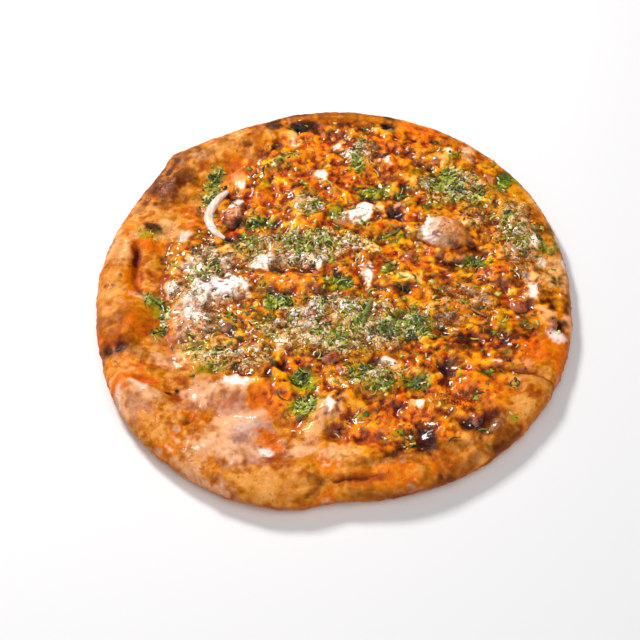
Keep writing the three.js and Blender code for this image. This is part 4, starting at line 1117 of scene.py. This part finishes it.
def crumb(name, size, seed):
    shape = bmesh.new()
    bmesh.ops.create_icosphere(shape, subdivisions=1, radius=size / 2 * MM)
    pts = np.array([v.co[:] for v in shape.verts]) / MM
    faces = [[v.index for v in f.verts] for f in shape.faces]
    shape.free()
    index = np.arange(len(pts))
    lumpy = (1 + 0.3 * (lattice(index, index * 0, seed) - 0.5))[:, None]
    return mesh_object(name, pts * lumpy * [1, 0.8, 0.6], [faces])

shape_sets = {
    "herb": [
        sliver("s1", 3.4, 0.9, 0.4, 0.7, 0.3), sliver("s2", 4.8, 0.75, 0.4, -1.1, 0.3),
        sliver("s3", 2.6, 1.1, 0.4, 0.5, 0.4), flake("s4", 2.2, 0.3, 2, 4),
        sliver("s5", 2.2, 1.2, 0.35, 0.3, 0.4), flake("s6", 3.4, 0.3, 5, 9),
        sliver("s13", 5.6, 0.6, 0.4, 1.6, 0.3)],
    "shred": [
        sliver("s7", 2.8, 1.2, 0.8, 0.6, 0.6), sliver("s8", 2.0, 1.2, 0.8, 0.4, 0.7),
        sliver("s9", 3.8, 1.0, 0.7, 1.0, 0.5), flake("s14", 2.6, 0.6, 3, 8)],
    "chip": [crumb("s10", 2.0, 3), crumb("s11", 1.5, 4), flake("s12", 2.2, 0.5, 3, 6)]}
bins = {}
for kind, shapes in shape_sets.items():
    bins[kind] = bpy.data.collections.new(kind)
    for shape in shapes:
        bpy.context.scene.collection.objects.unlink(shape)
        bins[kind].objects.link(shape)
print({kind: [len(s.data.polygons) for s in shapes] for kind, shapes in shape_sets.items()})

# %% The strewing tree
STREW_INPUTS = {
    "Shapes": ("Collection", None), "Finish": ("Material", None), "Where": ("String", "green"),
    "Per square metre": ("Float", 1e5), "Smallest": ("Float", 0.5), "Largest": ("Float", 1.2),
    "Tilt": ("Float", 0.4), "Sink": ("Float", 0.0), "Seed": ("Int", 1)}

def strewing_tree():
    tree = bpy.data.node_groups.new("strew_over_bread", "GeometryNodeTree")
    def socket(name, kind, side="INPUT", start=None):
        made = tree.interface.new_socket(name, in_out=side, socket_type="NodeSocket" + kind)
        if start is not None:
            made.default_value = start
        return made.identifier
    def node(kind, settings, links):
        made = tree.nodes.new(kind)
        for key, value in settings.items():
            setattr(made, key, value)
        for key, value in links.items():
            if isinstance(value, bpy.types.NodeSocket):
                tree.links.new(value, made.inputs[key])
            else:
                made.inputs[key].default_value = value
        return made.outputs

    socket("Bread", "Geometry")
    names = {name: socket(name, kind, start=start) for name, (kind, start) in STREW_INPUTS.items()}
    socket("Bits", "Geometry", "OUTPUT")
    given = node("NodeGroupInput", {}, {})
    where = node("GeometryNodeInputNamedAttribute", {"data_type": "FLOAT"}, {"Name": given["Where"]})[0]
    density = node("ShaderNodeMath", {"operation": "MULTIPLY"}, {0: where, 1: given["Per square metre"]})[0]
    points = node("GeometryNodeDistributePointsOnFaces", {"distribute_method": "RANDOM"},
                  {"Mesh": given["Bread"], "Density": density, "Seed": given["Seed"]})
    tone = node("FunctionNodeRandomValue", {"data_type": "FLOAT"}, {"Seed": 5})[1]
    marked = node("GeometryNodeStoreNamedAttribute", {"data_type": "FLOAT", "domain": "POINT"},
                  {"Geometry": points["Points"], "Name": "shade", "Value": tone})[0]
    size = node("FunctionNodeRandomValue", {"data_type": "FLOAT"},
                {2: given["Smallest"], 3: given["Largest"], "Seed": 6})[1]
    choice = node("FunctionNodeRandomValue", {"data_type": "INT"}, {4: 0, 5: 999, "Seed": 7})[2]
    shapes = node("GeometryNodeCollectionInfo", {"transform_space": "ORIGINAL"},
                  {"Collection": given["Shapes"], "Separate Children": True, "Reset Children": True})[0]
    placed = node("GeometryNodeInstanceOnPoints", {},
                  {"Points": marked, "Instance": shapes, "Pick Instance": True, "Instance Index": choice,
                   "Rotation": points["Rotation"], "Scale": size})[0]
    tilt = given["Tilt"]
    negative = node("ShaderNodeMath", {"operation": "MULTIPLY"}, {0: tilt, 1: -1.0})[0]
    least = node("ShaderNodeCombineXYZ", {}, {0: negative, 1: negative, 2: 0.0})[0]
    most = node("ShaderNodeCombineXYZ", {}, {0: tilt, 1: tilt, 2: 2 * math.pi})[0]
    turn = node("FunctionNodeRandomValue", {"data_type": "FLOAT_VECTOR"}, {0: least, 1: most, "Seed": 8})[0]
    turned = node("GeometryNodeRotateInstances", {}, {"Instances": placed, "Rotation": turn})[0]
    depth = node("ShaderNodeCombineXYZ", {}, {2: given["Sink"]})[0]
    sunk = node("GeometryNodeTranslateInstances", {},
                {"Instances": turned, "Translation": depth, "Local Space": False})[0]
    real = node("GeometryNodeRealizeInstances", {}, {"Geometry": sunk})[0]
    finished = node("GeometryNodeSetMaterial", {}, {"Geometry": real, "Material": given["Finish"]})[0]
    tree.links.new(finished, tree.nodes.new("NodeGroupOutput").inputs[0])
    return tree, names

strew_tree, strew_inputs = strewing_tree()
print("strewing tree nodes:", len(strew_tree.nodes))

# %% Strew them
def strewn(name, shapes, material, where, per_cm2, smallest, largest, tilt, sink, seed):
    source = add_object(name + "_source", bread.data)
    modifier = source.modifiers.new("strew", "NODES")
    modifier.node_group = strew_tree
    settings = (bins[shapes], material, where, per_cm2 * 1e4, smallest, largest, tilt, sink * MM, seed)
    for key, value in zip(STREW_INPUTS, settings):
        modifier[strew_inputs[key]] = value
    made = bpy.data.meshes.new_from_object(source.evaluated_get(bpy.context.evaluated_depsgraph_get()))
    bpy.data.objects.remove(source)
    made.name = name
    made.shade_smooth()
    piece = add_object(name, made)
    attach(piece, "root")
    print(name, len(made.polygons), "faces,", len(made.materials), "material")

def add_layer(name, values):
    give_layer(bread.data, name, values * on_top)

CENTRE_X, CENTRE_Y, CENTRE_LENGTH, CENTRE_WIDTH = -25, -8, 55, 48
centre_zone = np.exp(-(((px - CENTRE_X) / CENTRE_LENGTH) ** 2 + ((py - CENTRE_Y) / CENTRE_WIDTH) ** 2))
open_skin = (0.25 + 0.75 * values["clumps"]) * (1 - 0.75 * np.clip(values["melt"], 0, 1))
herb_thickness = np.clip(values["herb"], 0, 1) * (0.55 + 0.45 * values["clumps"])
add_layer("herb_density", herb_thickness + (0.13 * values["busy"] + 0.03 * values["topping"]) * open_skin)
shred_thickness = values["busy"] * (0.35 + 0.65 * centre_zone) + 0.4 * values["herb"]
add_layer("shred_density", shred_thickness * open_skin)
add_layer("chip_density", 0.35 * values["topping"] + 0.4 * values["busy"])
add_layer("fleck_density", 0.5 * values["busy"] * open_skin + 0.06 * values["topping"])

def bit_finish(name, gloss, coat, stops):
    finish = Finish(name)
    fine = finish.cloud(0.9, 2)
    colour = finish.ramp(finish.layer("shade") * 0.8 + fine * 0.4 - 0.1, stops)
    finish.wear(Base_Color=colour, Roughness=finish.ease(fine, 0.3, 0.7, gloss, gloss + 0.2),
                Normal=finish.bump(fine, 0.15, 0.6))
    return finish.wear(Coat_Weight=coat, Coat_Roughness=0.12)

herb_bits = bit_finish("chopped_coriander", 0.35, 0.2, [
    (0.05, "1e2008"), (0.25, "424a08"), (0.45, "74880a"), (0.65, "a6b41c"), (0.82, "d6d26c"),
    (0.97, "f8eec8")])
pale_bits = bit_finish("grated_cheese", 0.3, 0.35, [
    (0.05, "e8a870"), (0.3, "f4d4b0"), (0.6, "fff0e2"), (0.95, "fffaf6")])
red_bits = bit_finish("chilli_and_tomato_bits", 0.25, 0.6, [
    (0.1, "5a1204"), (0.4, "a83208"), (0.7, "d95f12"), (0.95, "f09038")])
dark_bits = bit_finish("toasted_spice", 0.35, 0.4, [(0.1, "0e0906"), (0.5, "2c160c"), (0.9, "5c3016")])

# How many lie on a square centimetre where the layer is full, the least and greatest scale, the tilt, how
# far the bit lies above the skin, and the seed.
strewn("coriander_shreds", "herb", herb_bits, "herb_density", 32, 0.6, 1.5, 0.5, 0.1, 301)
strewn("cheese_shreds", "shred", pale_bits, "shred_density", 8, 0.5, 1.1, 0.4, -0.1, 302)
strewn("chilli_bits", "chip", red_bits, "chip_density", 3, 0.4, 1.1, 0.5, -0.1, 303)
strewn("spice_flecks", "chip", dark_bits, "fleck_density", 3, 0.3, 0.8, 0.5, -0.1, 304)
for kind, shapes in shape_sets.items():
    for shape in shapes:
        bpy.data.objects.remove(shape)
    bpy.data.collections.remove(bins[kind])

# %% [markdown]
# ## Floor, light and camera
# Food shines, and the shine shows its shape. A fairly small soft light behind and to the left gives the wet
# sparkle, a broad one in front fills the side wall, and the white surroundings keep the shadows open. The
# floor is plain.

# %% Studio
FLOOR_REACH, FLOOR_LEVEL = 3000, -0.2
signs = ((-1, -1), (1, -1), (1, 1), (-1, 1))
floor_corners = [(FLOOR_REACH * a, FLOOR_REACH * b, FLOOR_LEVEL) for a, b in signs]
floor = mesh_object("pale_floor", floor_corners, [[(0, 1, 2, 3)]])
floor_finish = Finish("pale_floor")
floor.data.materials.append(floor_finish.wear(Base_Color=(0.9, 0.9, 0.91, 1), Roughness=0.7))

world = bpy.data.worlds.new("studio")
world.use_nodes = True
sky = world.node_tree
direction = sky.nodes.new("ShaderNodeTexCoord")
split = sky.nodes.new("ShaderNodeSeparateXYZ")
brightness = sky.nodes.new("ShaderNodeMapRange")
sky.links.new(direction.outputs["Generated"], split.inputs[0])
sky.links.new(split.outputs["Y"], brightness.inputs["Value"])
for key, value in {"From Min": -0.2, "From Max": 0.6, "To Min": 0.46, "To Max": 0.05}.items():
    brightness.inputs[key].default_value = value
sky.links.new(brightness.outputs[0], sky.nodes["Background"].inputs["Strength"])
sky.nodes["Background"].inputs["Color"].default_value = (1, 1, 1, 1)
bpy.context.scene.world = world

def soft_light(name, place, size, power, tint=(1, 1, 1)):
    lamp = bpy.data.lights.new(name, "AREA")
    lamp.size, lamp.energy, lamp.color = size, power, tint
    holder = add_object(name, lamp)
    holder.location = place
    holder.rotation_euler = (-Vector(place)).to_track_quat("-Z", "Y").to_euler()

soft_light("window_behind_left", (-0.46, 0.60, 0.74), size=0.22, power=9.8, tint=(1, 0.98, 0.96))
soft_light("overhead_in_front", (0.15, -0.45, 1.1), size=0.9, power=4.4)
bpy.context.scene.view_settings.view_transform = "Standard"
bpy.context.scene.view_settings.look = "None"

# %% Camera
ELEVATION, DISTANCE = 50.3, 729.0
AIM_X, AIM_Y = -7.0, -14.9
target = np.array([AIM_X + SHIFT[0], AIM_Y + SHIFT[1], 0.0])
e = math.radians(ELEVATION)
lens = bpy.data.cameras.new("camera")
lens.lens, lens.sensor_width = 85, 36
camera = add_object("camera", lens)
camera.location = (target + DISTANCE * np.array([0, -math.cos(e), math.sin(e)])) * MM
camera.rotation_euler = (math.radians(90 - ELEVATION), 0, 0)
bpy.context.scene.camera = camera
print("camera at", [round(v, 3) for v in camera.location])
